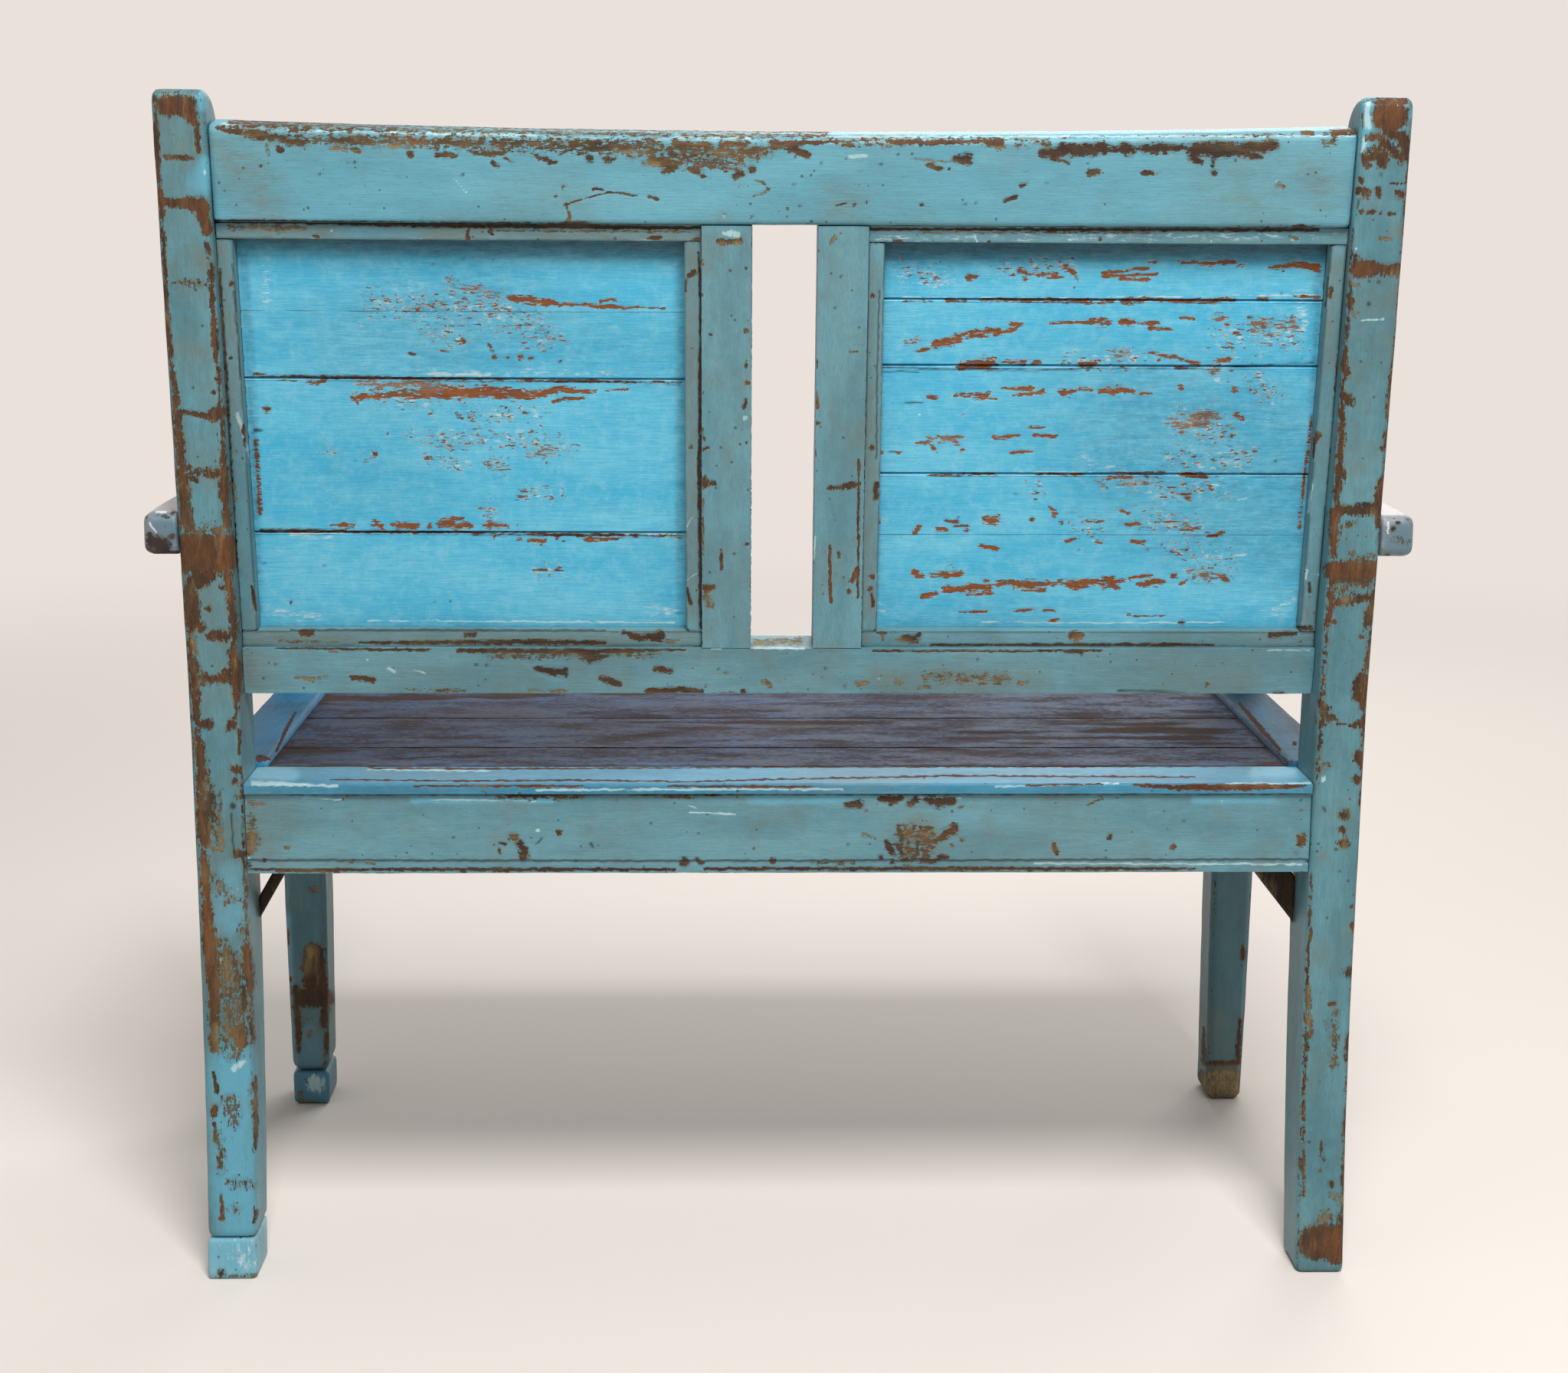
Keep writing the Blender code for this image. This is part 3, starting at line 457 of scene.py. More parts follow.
def worn_copy(node, cell, grain, stand=None):
    """A copy of a CAD piece with a skin of small faces, longer along the grain, to shape wear into."""
    piece = bpy.data.objects.new(node + "_worn", NODES[node].data.copy())
    bpy.context.scene.collection.objects.link(piece)
    piece.data.materials.clear()
    only(piece)
    bpy.ops.object.mode_set(mode="EDIT")
    bpy.ops.mesh.select_all(action="SELECT")
    bpy.ops.mesh.remove_doubles(threshold=0.00001)
    bpy.ops.object.mode_set(mode="OBJECT")
    share = 1.0 if any(word in node for word in EVEN) else 0.5
    squeeze = Matrix.Diagonal([share if v < 1 else 1.0 for v in grain]).to_4x4()
    turn = squeeze @ stand if stand else squeeze
    board = "panel_board" in node
    crisp_piece = any(word in node for word in CRISP)
    faces = board_faces(piece.data, node, stand) if board else None
    planes = flat_planes(piece.data, stand) if crisp_piece else None
    piece.data.transform(turn)
    skin = piece.modifiers.new("Even skin", "REMESH")
    skin.mode = "VOXEL"
    skin.voxel_size = cell
    bpy.ops.object.modifier_apply(modifier=skin.name)
    piece.data.transform(turn.inverted())
    bpy.ops.object.shade_smooth()
    if board or crisp_piece:
        mesh = piece.data
        if board:
            crisp = square_board(mesh, stand, faces, BOARD_REACH * cell)
        else:
            crisp = sharpen(mesh, stand, planes, ARRIS_REACH * cell)
        smooth = [not any(crisp[v] for v in face.vertices) for face in mesh.polygons]
        mesh.polygons.foreach_set("use_smooth", smooth)
    return piece


def board_faces(mesh, node, stand):
    """The planes of a panel board's two broad faces, and how high each of them reaches."""
    turn = turn_of(stand)
    points = read_points(mesh)[0] @ turn.T
    closed = CLOSED_JOINTS[node.split("_")[0]]
    faces = []
    for sign in (-1, 1):
        depth = sign * (sign * points[:, 1]).max()
        heights = points[np.abs(points[:, 1] - depth) < 0.0002, 2]
        edges = []
        for edge, outward in ((heights.min(), -1), (heights.max(), 1)):
            seen = to_pixels(np.array([[points[:, 0].mean(), depth, edge]]) @ turn)[0, 1]
            edges.append(edge - (CLOSING if outward < 0 and abs(seen - closed) < JOINT_WITHIN else 0))
        faces.append((depth, *edges))
    return faces


def flat_planes(mesh, stand):
    """Where a piece's flat faces lie along its own three axes."""
    turn = turn_of(stand)
    centres = np.array([tuple(face.center) for face in mesh.polygons]) @ turn.T
    normals = np.array([tuple(face.normal) for face in mesh.polygons]) @ turn.T
    areas = np.array([face.area for face in mesh.polygons])
    planes = []
    for axis in range(3):
        level = np.abs(normals[:, axis]) > 0.999
        offsets, places = np.unique(np.round(centres[level, axis], 4), return_inverse=True)
        covered = np.bincount(places.ravel(), areas[level], len(offsets))
        planes.append(offsets[covered > FLAT_AREA])
    return planes


def sharpen(mesh, stand, planes, reach):
    """Draws a skin's rounded arrises back out to the flat faces that meet there."""
    turn = turn_of(stand)
    points, normals = read_points(mesh)
    points, normals = points @ turn.T, normals @ turn.T
    drawn = np.zeros(len(points), int)
    for axis, offsets in enumerate(planes):
        if not len(offsets):
            continue
        away = np.abs(points[:, axis, None] - offsets[None, :])
        nearest = away.argmin(axis=1)
        close = (away.min(axis=1) < reach) & (np.abs(normals[:, axis]) > 0.3)
        points[close, axis] = offsets[nearest[close]]
        drawn += close
    write_points(mesh, points @ turn)
    return drawn > 1


def reshape(mesh, node, stand):
    """Wears the top rail's top edge down, and gives the seat's mouldings their thinner nose."""
    turn = turn_of(stand)
    points = read_points(mesh)[0] @ turn.T
    height = points[:, 2]
    top, bottom = height.max(), height.min()
    band = np.clip((height - top + BAND) / BAND, 0, 1)
    if node == "top_rail":
        height -= WORN_DOWN * band
    elif "seat_strip" in node:
        height += MOULDING_LIFT * (top - height) / (top - bottom)
    elif "apron" in node:
        height += MOULDING_LIFT * band
    write_points(mesh, points @ turn)


def square_board(mesh, stand, faces, reach):
    """Sharpens a board's long arrises again, so that its joints stay as tight as they are."""
    turn = turn_of(stand)
    points = read_points(mesh)[0] @ turn.T
    crisp = np.zeros(len(points), bool)
    for depth, low, high in faces:
        near = np.abs(points[:, 1] - depth) < reach
        for edge in (low, high):
            corner = near & (np.abs(points[:, 2] - edge) < reach)
            points[corner, 2] = edge
            crisp |= corner
        points[near, 1] = depth
    write_points(mesh, points @ turn)
    return crisp


def read_points(mesh):
    points = np.zeros(len(mesh.vertices) * 3, np.float32)
    mesh.vertices.foreach_get("co", points)
    normals = np.zeros(len(mesh.vertices) * 3, np.float32)
    mesh.vertex_normals.foreach_get("vector", normals)
    return points.reshape(-1, 3).astype(float), normals.reshape(-1, 3).astype(float)


def soften(mesh, values, rounds):
    """Each point's value drawn towards its neighbours' a number of times."""
    ends = np.zeros(len(mesh.edges) * 2, np.int32)
    mesh.edges.foreach_get("vertices", ends)
    ends = ends.reshape(-1, 2)
    count = len(values)
    near = np.bincount(ends.ravel(), minlength=count)
    for _ in range(rounds):
        drawn = np.bincount(ends[:, 0], values[ends[:, 1]], count)
        drawn += np.bincount(ends[:, 1], values[ends[:, 0]], count)
        values = (values + drawn) / (1 + near)
    return values


def arris_field(mesh, normals, stand, rounds=5):
    """1 on a piece's arrises, and falling to 0 a few millimetres away from them."""
    slant = 1 - np.abs(normals @ turn_of(stand).T).max(axis=1)
    sharp = np.clip((slant - 0.02) / 0.16, 0, 1)
    return soften(mesh, sharp, rounds)


def ripple(points, size, seed, stretch=(1, 1, 1)):
    """Smooth uneven waves about a size in metres long, from -1 to 1."""
    chance = np.random.default_rng(seed)
    total = np.zeros(len(points))
    for _ in range(9):
        way = chance.normal(size=3) * stretch
        way *= 2 * math.pi / size / np.linalg.norm(way) * chance.uniform(0.6, 1.6)
        total += np.sin(points @ way + chance.uniform(0, 2 * math.pi))
    return np.clip(total / 4, -1, 1)


def stroke_field(pixels, strokes, softest):
    """How deep each pixel lies in a set of strokes: 1 well inside, 0.5 at an edge, 0 outside.

    A stroke is a row of x, y, half width, x, y, half width and so on. The second result is the
    depth in pixels.
    """
    field = np.zeros(len(pixels))
    depth = np.full(len(pixels), -1e3)
    low, high = pixels.min(axis=0), pixels.max(axis=0)
    for stroke in strokes:
        places = np.array(stroke, float).reshape(-1, 3)
        reach = places[:, 2].max() + softest
        if (places[:, :2].max(axis=0) + reach < low).any():
            continue
        if (places[:, :2].min(axis=0) - reach > high).any():
            continue
        for first, last in zip(places, places[1:] if len(places) > 1 else places):
            way = last[:2] - first[:2]
            along = np.clip((pixels - first[:2]) @ way / max(way @ way, 1e-9), 0, 1)
            half = first[2] + (last[2] - first[2]) * along
            away = pixels - first[:2] - along[:, None] * way
            inside = half - np.hypot(away[:, 0], away[:, 1])
            field = np.maximum(field, 0.5 + inside / (2 * np.minimum(half, softest)))
            depth = np.maximum(depth, inside)
    return np.clip(field, 0, 1), depth


# What each kind of mark does, by channel, and how softly it ends.
KINDS = {
    "bare": ({"bare": 1.0}, SOFT_EDGE),
    "rust": ({"bare": 1.0, "warm": 0.8}, SOFT_EDGE),
    "brown": ({"bare": 1.0, "dark": 0.45}, SOFT_EDGE),
    "black": ({"bare": 1.0, "dark": 0.85}, SOFT_EDGE),
    "worn": ({"bare": 0.64, "warm": 0.2}, SOFT_EDGE),
    "broken": ({"bare": 0.54, "ochre": 0.25}, 8.0),
    "ochre": ({"bare": 0.66, "ochre": 0.8, "warm": 0.4}, SOFT_EDGE),
    "crack": ({"dark": 1.0}, 1.5),
    "fleck": ({"bare": 0.36, "pale": 0.6}, 20.0),
    # This kind paints the shadow that a top bead casts on the panel below it, in the soil and crack
    # colours.
    "painted_shadow": ({"soil_and_shade": 1.0, "dark": 0.6}, 8.0),
    # Rubs are pale worn paint, and along some edges painted highlights.
    "rub_and_highlight": ({"pale": 1.0}, 9.0),
    "wash": ({"pale": 0.5}, 30.0),
    "soil_and_shade": ({"soil_and_shade": 1.0}, 30.0),
    "shade": ({"soil_and_shade": 1.0}, 10.0),
    "fresh": ({"fresh": 1.0}, 60.0),
}
# The soil channel carries dirt, and painted shade in corners and under the beads.
CHANNELS = ("bare", "pale", "soil_and_shade", "warm", "dark", "fresh", "ochre")
HARD_KINDS = ("bare", "rust", "brown", "black", "ochre", "crack", "rub_and_highlight")


def photo_wear(node, points, normals, seed):
    """The marks that the photograph shows on a piece, by channel, and their edges' nearness."""
    marks = MARKS.get(node, {})
    to_camera = np.array(CAMERA_PLACE) - points
    to_camera /= np.linalg.norm(to_camera, axis=1)[:, None]
    seen = np.clip(((normals * to_camera).sum(axis=1) - 0.03) / 0.12, 0, 1)
    pixels = to_pixels(points)
    pixels[:, 0] += WANDER * ripple(points, 0.011, seed + 2)
    pixels[:, 1] += WANDER * ripple(points, 0.011, seed + 3)
    found = {channel: np.zeros(len(points)) for channel in CHANNELS}
    near = np.full(len(points), 1e3)
    for kind, strokes in marks.items():
        shares, softest = KINDS[kind]
        field, depth = stroke_field(pixels, strokes, softest)
        if kind == "fleck":
            field *= 0.7 + 0.3 * np.sin((pixels[:, 0] - 0.5 * pixels[:, 1]) * 2 * math.pi / SAW_MARKS)
        for channel, share in shares.items():
            found[channel] = np.maximum(found[channel], share * field * seen)
        if kind in HARD_KINDS:
            near = np.minimum(near, np.where(seen > 0, np.abs(depth), 1e3))
    return found, near, seen


def refine(piece, node, seed):
    """Halves the faces near the edges of a piece's marks."""
    mesh = piece.data
    bpy.context.tool_settings.mesh_select_mode = (False, False, True)
    points, normals = read_points(mesh)
    near = photo_wear(node, points, normals, seed)[1] < FINE_WITHIN
    corners = np.zeros(len(mesh.loops), np.int32)
    mesh.loops.foreach_get("vertex_index", corners)
    starts = np.zeros(len(mesh.polygons), np.int32)
    mesh.polygons.foreach_get("loop_start", starts)
    chosen = np.logical_or.reduceat(near[corners], starts)
    if not chosen.any():
        return
    mesh.vertices.foreach_set("select", np.zeros(len(mesh.vertices), bool))
    mesh.edges.foreach_set("select", np.zeros(len(mesh.edges), bool))
    mesh.polygons.foreach_set("select", chosen)
    bpy.ops.object.mode_set(mode="EDIT")
    bpy.ops.mesh.subdivide(number_cuts=1)
    bpy.ops.object.mode_set(mode="OBJECT")


def set_channels(mesh, name, values):
    attribute = mesh.attributes.new(name, "FLOAT_COLOR", "POINT")
    colours = np.clip(np.stack(values, axis=1), 0, 1).astype(np.float32)
    attribute.data.foreach_set("color", colours.ravel())


def finish_piece(piece, node, material):
    piece.data.materials.append(material)
    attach(piece, "root")
    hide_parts(node)


def make_worn(node, cell, grain, material, slot, stand=None, seed=0, age=1.0, base=0.0):
    """A piece's worn stand-in: age scales the wear that is left to chance, base adds to it all over."""
    piece = worn_copy(node, cell, grain, stand)
    mesh = piece.data
    reshape(mesh, node, stand)
    if node in MARKS:
        refine(piece, node, seed)
    points, normals = read_points(mesh)
    arris = arris_field(mesh, normals, stand)
    found, _, seen = photo_wear(node, points, normals, seed)
    if "panel_board" in node:
        arris *= 0
        outward = turn_of(stand)[1]
        normals = np.sign(normals @ outward)[:, None] * outward
    waves = ripple(points, 0.09, seed, grain)
    patches = 0.6 * ripple(points, 0.16, seed + 4, grain) + 0.4 * ripple(points, 0.03, seed + 5, grain)
    chance = arris * (0.62 + 0.4 * waves) + np.clip(patches - 0.2, 0, 1) * 0.95
    quiet = arris * (0.3 + 0.25 * waves)
    left = quiet * seen + chance * (1 - seen) if node in MARKS else chance
    bare = np.maximum(found["bare"], base + age * left)
    soil_and_shade = np.maximum(found["soil_and_shade"], 0.5 * np.clip(ripple(points, 0.25, seed + 6), 0, 1))
    warm = np.maximum(found["warm"], 0.7 * np.clip(ripple(points, 0.06, seed + 7), 0, 1))
    if "bead" in node:
        edge = np.clip((arris_field(mesh, normals, stand, 1) - 0.25) / 0.3, 0, 1)
        found["dark"] = np.maximum(found["dark"], 0.85 * edge * (0.7 + 0.3 * waves))
    hollow = soften(mesh, np.clip((bare - 0.4) / 0.2, 0, 1), 1)
    sink = 0.00015 * (1 + ripple(points, 0.05, seed + 1)) + 0.0004 * arris * (1 + waves)
    sink += 0.0003 * hollow + 0.0008 * np.clip(found["dark"] - 0.5, 0, 1)
    moved = points - normals * sink[:, None]
    write_points(mesh, moved)
    set_channels(mesh, "wear", (bare, found["pale"], soil_and_shade, warm))
    set_channels(mesh, "tone", (found["dark"], found["fresh"], found["ochre"], np.ones(len(points))))
    finish_piece(piece, node, material)


# The wear that the photograph shows, in its pixels. Each kind has its strokes, and a stroke is
# one bracket: x, y and half width of its first point, of its second, and so on.
LEFT_POST = {
    "worn": (
        (202, 125, 3, 204, 200, 4, 210, 280, 4, 214, 345, 4, 218, 420, 4, 226, 500, 4),
        (226, 500, 4, 231, 560, 5, 238, 650, 6, 243, 720, 8, 247, 800, 8, 254, 880, 7),
        (254, 880, 7, 257, 960, 5, 262, 1040, 7, 266, 1120, 7, 273, 1230, 9, 281, 1340, 8),
        (271, 330, 3, 277, 380, 4, 283, 450, 3, 288, 540, 4, 295, 620, 6, 300, 700, 6),
        (300, 700, 6, 302, 780, 5, 306, 860, 6, 309, 920, 4, 309, 960, 2),
        (316, 1000, 2, 318, 1110, 3, 322, 1200, 3, 328, 1300, 4, 330, 1360, 3),
        (250, 895, 6, 275, 888, 7, 305, 885, 6), (235, 620, 8, 262, 616, 5, 295, 614, 8),
        (262, 980, 8, 272, 1050, 10),
    ),
    "rust": (
        (217, 138, 15, 240, 138, 15), (246, 148, 9, 254, 160, 5),
        (246, 266, 9, 262, 268, 11, 266, 285, 9, 271, 303, 6), (270, 320, 3, 274, 330, 3),
        (277, 345, 3, 277, 365, 4), (278, 385, 4, 277, 400, 3), (278, 412, 3, 281, 450, 4, 283, 470, 3),
        (293, 612, 6, 293, 640, 8, 296, 665, 5, 297, 685, 6), (240, 722, 26, 292, 722, 26),
        (296, 752, 6, 301, 770, 6, 303, 795, 6), (304, 850, 6, 309, 870, 9, 308, 890, 9, 310, 912, 4),
        (262, 1045, 5, 267, 1080, 10, 268, 1100, 8), (322, 1235, 5, 324, 1265, 8, 327, 1290, 6),
        (311, 1345, 10, 314, 1360, 9),
        (268, 1125, 5, 270, 1180, 6, 273, 1225, 9, 277, 1262, 10, 280, 1295, 8, 279, 1370, 5),
        (280, 1447, 5, 280, 1456, 4), (289, 1560, 2, 290, 1590, 3), (335, 1580, 3, 332, 1595, 2),
    ),
    "bare": (
        (203, 162, 4, 204, 200, 4, 206, 230, 3), (208, 250, 4, 211, 280, 4),
        (213, 310, 3, 214, 340, 3, 216, 360, 3), (215, 372, 3, 217, 400, 3, 220, 440, 4, 223, 465, 3),
        (226, 488, 3, 229, 505, 3, 230, 530, 5),
        (231, 545, 6, 234, 575, 6, 236, 600, 5, 239, 625, 9, 241, 655, 8, 244, 685, 9),
        (214, 264, 5, 240, 266, 6), (257, 165, 3, 259, 197, 3), (215, 205, 3, 250, 207, 3),
        (286, 482, 3, 287, 500, 2), (283, 495, 3), (279, 512, 3),
        (230, 540, 6, 240, 538, 3, 260, 541, 3, 268, 544, 4, 280, 542, 9, 287, 538, 9),
        (291, 550, 3, 291, 580, 3, 291, 600, 4), (246, 610, 3), (258, 617, 3), (268, 621, 4, 285, 618, 5),
        (247, 624, 4, 256, 627, 3), (258, 757, 13, 272, 750, 11),
        (246, 770, 9, 250, 792, 11, 251, 815, 9), (290, 766, 4), (272, 795, 4), (262, 818, 6),
        (305, 805, 6, 305, 832, 6), (272, 831, 5, 285, 828, 8, 300, 832, 5),
        (248, 840, 4, 248, 860, 5, 253, 876, 9, 253, 892, 8),
        (262, 882, 6, 275, 886, 4, 285, 886, 5, 296, 882, 9), (254, 905, 6, 255, 930, 5, 259, 945, 5),
        (264, 945, 6, 273, 945, 6), (305, 945, 6, 298, 950, 4), (312, 955, 4, 313, 965, 2, 312, 985, 2),
        (258, 960, 4, 261, 980, 7, 262, 1005, 5, 262, 1030, 5), (303, 1003, 4, 309, 1005, 5),
        (306, 1020, 4), (308, 1115, 5, 318, 1115, 5), (279, 1400, 2, 283, 1425, 3),
        (280, 1465, 2, 281, 1490, 2), (334, 1405, 2, 334, 1440, 3, 335, 1470, 3, 334, 1500, 2),
    ),
    "broken": (
        (226, 372, 5, 245, 369, 6, 262, 371, 6, 275, 372, 6),
        (275, 1030, 9, 278, 1055, 12, 279, 1080, 11, 285, 1103, 8),
        (268, 1140, 8, 285, 1152, 9, 292, 1164, 9),
        (285, 1232, 12, 300, 1262, 20, 306, 1300, 22, 308, 1340, 22, 305, 1372, 16),
        (321, 1200, 6, 317, 1216, 9), (294, 1177, 5, 312, 1174, 4), (322, 1150, 5, 323, 1172, 4),
        (300, 1440, 14, 305, 1465, 10), (287, 1480, 7, 288, 1530, 7), (303, 1543, 9, 328, 1545, 8),
        (305, 1578, 9), (330, 1415, 6, 331, 1440, 6), (228, 690, 9, 290, 690, 9),
        (310, 1042, 5, 314, 1028, 5),
    ),
    "ochre": (
        (288, 1030, 2, 287, 1060, 3, 289, 1105, 4), (275, 1108, 4, 292, 1108, 3),
        (300, 1256, 3, 303, 1285, 3), (283, 1340, 4, 285, 1375, 5), (285, 1160, 4, 290, 1150, 3),
        (287, 1062, 2, 288, 1075, 2), (251, 838, 2, 250, 828, 2),
    ),
    "brown": (
        (279, 1290, 4, 281, 1330, 4), (318, 1290, 3, 320, 1316, 3), (328, 1335, 2, 331, 1355, 3),
        (250, 790, 5, 252, 812, 5), (276, 1040, 5, 272, 1062, 6),
    ),
    "crack": (
        (304, 1052, 4), (302, 1062, 1, 303, 1085, 1, 305, 1112, 1), (268, 316, 1.5, 269, 330, 1),
        (284, 430, 1.5, 285, 458, 1.5), (276, 470, 1),
    ),
    "rub_and_highlight": (
        (262, 185, 2), (268, 225, 3), (285, 1258, 3, 290, 1250, 2), (305, 1395, 4, 320, 1385, 3),
        (244, 1320, 2), (310, 1160, 2),
    ),
    "soil_and_shade": ((230, 178, 22, 240, 200, 18), (240, 455, 9, 275, 462, 8), (265, 340, 14)),
    "fresh": (
        (300, 1195, 20, 300, 1140, 14), (305, 1395, 30, 308, 1500, 30, 310, 1610, 30),
        (264, 140, 6, 263, 122, 5), (262, 240, 14, 268, 212, 8),
    ),
}
RIGHT_POST = {
    "worn": (
        (1843, 200, 4, 1838, 300, 4, 1832, 370, 4, 1826, 430, 4, 1820, 500, 5, 1814, 570, 5),
        (1814, 570, 5, 1808, 640, 6, 1804, 720, 6, 1796, 810, 8, 1787, 880, 9, 1783, 960, 6),
        (1783, 960, 6, 1778, 1060, 3, 1774, 1180, 2.5, 1767, 1300, 3, 1761, 1400, 5),
        (1761, 1400, 5, 1758, 1500, 5, 1754, 1560, 5, 1750, 1600, 6),
        (1766, 300, 2, 1760, 400, 3, 1754, 480, 4, 1750, 560, 5, 1747, 620, 5, 1742, 700, 6),
        (1742, 700, 6, 1735, 800, 5, 1729, 860, 4, 1724, 940, 5, 1720, 1020, 3),
        (1712, 1140, 2, 1707, 1250, 3, 1704, 1350, 4, 1701, 1450, 3, 1702, 1560, 3),
        (1790, 200, 10, 1830, 195, 10), (1745, 785, 9, 1790, 780, 8),
    ),
    "rust": (
        (1809, 153, 18, 1822, 153, 18), (1800, 133, 5, 1834, 131, 5), (1776, 351, 12, 1786, 350, 12),
        (1742, 670, 8, 1741, 700, 6, 1740, 722, 5), (1741, 745, 13, 1795, 745, 13),
        (1736, 1311, 3, 1742, 1311, 3), (1745, 1625, 24),
    ),
    "bare": (
        (1788, 180, 5, 1800, 178, 4, 1808, 188, 7),
        (1812, 172, 6, 1830, 178, 7, 1837, 190, 8, 1838, 205, 8), (1822, 198, 5, 1832, 207, 7),
        (1783, 207, 7, 1795, 203, 6, 1805, 208, 9), (1785, 215, 5), (1804, 214, 6),
        (1842, 215, 4, 1841, 245, 4, 1838, 268, 5, 1836, 290, 5, 1836, 315, 4, 1834, 340, 5),
        (1832, 365, 4, 1828, 410, 4, 1822, 470, 4, 1818, 505, 6, 1815, 545, 6),
        (1813, 565, 5, 1811, 582, 6), (1806, 586, 4),
        (1811, 612, 3, 1806, 632, 7, 1803, 648, 9, 1802, 664, 9, 1803, 685, 7),
        (1804, 697, 5, 1806, 720, 4, 1804, 735, 6),
        (1799, 762, 5, 1795, 780, 7, 1790, 802, 8, 1787, 813, 8), (1792, 836, 6),
        (1790, 855, 5, 1787, 870, 6), (1780, 890, 12, 1778, 905, 13, 1783, 920, 8),
        (1786, 935, 7, 1781, 946, 8), (1784, 960, 5), (1776, 988, 9, 1780, 1000, 7), (1771, 1018, 6),
        (1779, 1035, 3, 1778, 1050, 4), (1777, 235, 4), (1776, 251, 7, 1782, 252, 7),
        (1799, 249, 5, 1800, 256, 3), (1828, 254, 6, 1835, 254, 4), (1815, 240, 1.5, 1835, 239, 1.5),
        (1778, 276, 3), (1785, 278, 3), (1793, 277, 3), (1801, 279, 2), (1813, 279, 2.5, 1821, 279, 2),
        (1797, 352, 8, 1815, 352, 7, 1826, 352, 9), (1761, 385, 3, 1765, 395, 3), (1762, 403, 4),
        (1756, 458, 3, 1755, 478, 5, 1758, 488, 6), (1751, 515, 4, 1759, 522, 7, 1763, 524, 6),
        (1751, 532, 4, 1751, 575, 5, 1748, 600, 4, 1750, 612, 6, 1746, 640, 6),
        (1745, 665, 7, 1770, 667, 6, 1800, 665, 7), (1776, 783, 5), (1741, 812, 3), (1778, 831, 3),
        (1738, 772, 5, 1736, 795, 4, 1732, 818, 3), (1729, 853, 3),
        (1724, 915, 4, 1730, 927, 6, 1725, 942, 4), (1735, 935, 5, 1741, 936, 3),
        (1745, 945, 1.2, 1765, 947, 1.5), (1768, 946, 4), (1755, 1064, 7), (1753, 1084, 5),
        (1751, 1102, 6, 1757, 1102, 5), (1776, 1075, 2), (1778, 1092, 2), (1776, 1115, 3),
        (1775, 1137, 2), (1765, 1183, 3), (1709, 1195, 3), (1711, 1213, 3, 1710, 1228, 2),
        (1706, 1266, 3, 1707, 1280, 2), (1707, 1300, 3), (1706, 1330, 2), (1705, 1350, 4, 1706, 1370, 3),
        (1702, 1438, 2, 1702, 1448, 2), (1702, 1478, 2), (1701, 1515, 2, 1702, 1532, 2), (1702, 1555, 3),
        (1766, 1208, 4), (1768, 1255, 2), (1765, 1305, 2), (1715, 1622, 22, 1745, 1622, 24),
    ),
    "brown": (
        (1764, 1270, 7), (1762, 1352, 4, 1761, 1377, 6),
        (1762, 1400, 2, 1761, 1440, 3, 1760, 1465, 6, 1760, 1485, 6),
        (1760, 1505, 2, 1757, 1537, 6, 1758, 1550, 5), (1738, 1546, 4), (1717, 1612, 7, 1729, 1605, 5),
        (1750, 1590, 5, 1756, 1600, 5), (1770, 335, 3, 1768, 345, 3), (1770, 658, 2, 1800, 660, 3),
        (1745, 756, 4, 1790, 758, 4), (1804, 210, 4),
    ),
    "broken": (
        (1742, 766, 9, 1785, 764, 9), (1768, 730, 9, 1790, 728, 8), (1750, 688, 8, 1768, 684, 6),
        (1727, 938, 12, 1742, 940, 6), (1725, 1490, 4, 1726, 1515, 4), (1740, 1390, 7, 1745, 1320, 5),
        (1735, 1337, 7), (1790, 800, 12), (1730, 1590, 12), (1724, 1000, 8, 1733, 998, 7),
    ),
    "ochre": (
        (1800, 311, 3, 1817, 313, 2), (1765, 370, 4, 1771, 373, 4), (1768, 410, 5),
        (1755, 690, 3, 1770, 683, 3), (1766, 722, 5), (1790, 724, 4), (1757, 782, 5), (1729, 880, 2),
        (1731, 920, 3), (1726, 1000, 4, 1734, 997, 4), (1757, 1092, 3), (1757, 1058, 2),
        (1709, 1288, 3, 1709, 1330, 4, 1711, 1355, 4), (1705, 1410, 3), (1724, 1528, 4),
        (1740, 1560, 5, 1753, 1566, 5), (1710, 1600, 3, 1722, 1593, 3, 1736, 1586, 3), (1763, 1345, 2),
    ),
    "crack": (
        (1773, 262, 1.5, 1772, 272, 1.5), (1787, 397, 2.5), (1803, 228, 1.5),
        (1763, 375, 2, 1764, 384, 1.5), (1757, 425, 1.5, 1756, 436, 1.5), (1749, 1137, 1.5),
        (1743, 641, 1.5, 1742, 650, 1.5), (1728, 1054, 1.5, 1730, 1059, 1.5),
    ),
    "rub_and_highlight": (
        (1785, 135, 5, 1786, 165, 5), (1781, 180, 3, 1779, 200, 3), (1776, 418, 1.5, 1806, 417, 1.5),
        (1728, 1017, 4), (1771, 324, 2), (1757, 440, 2), (1753, 505, 3), (1800, 140, 2, 1832, 137, 2),
        (1735, 765, 2),
    ),
    "soil_and_shade": ((1727, 1119, 6), (1827, 300, 10)),
    "fresh": ((1786, 130, 7, 1783, 200, 6), (1845, 150, 6)),
}
# A painted shadow of the gap between the top rail and the top beads, laid as dark bare wood along both
# edges.
SHADOW_UNDER_RAIL = (
    (280, 289, 1.6, 380, 290, 1.6, 480, 292, 2.2, 600, 294, 2.8, 740, 295, 2.8),
    (740, 295, 3, 860, 297, 2, 1000, 297, 1.6, 1150, 299, 1.6, 1720, 300, 2),
)
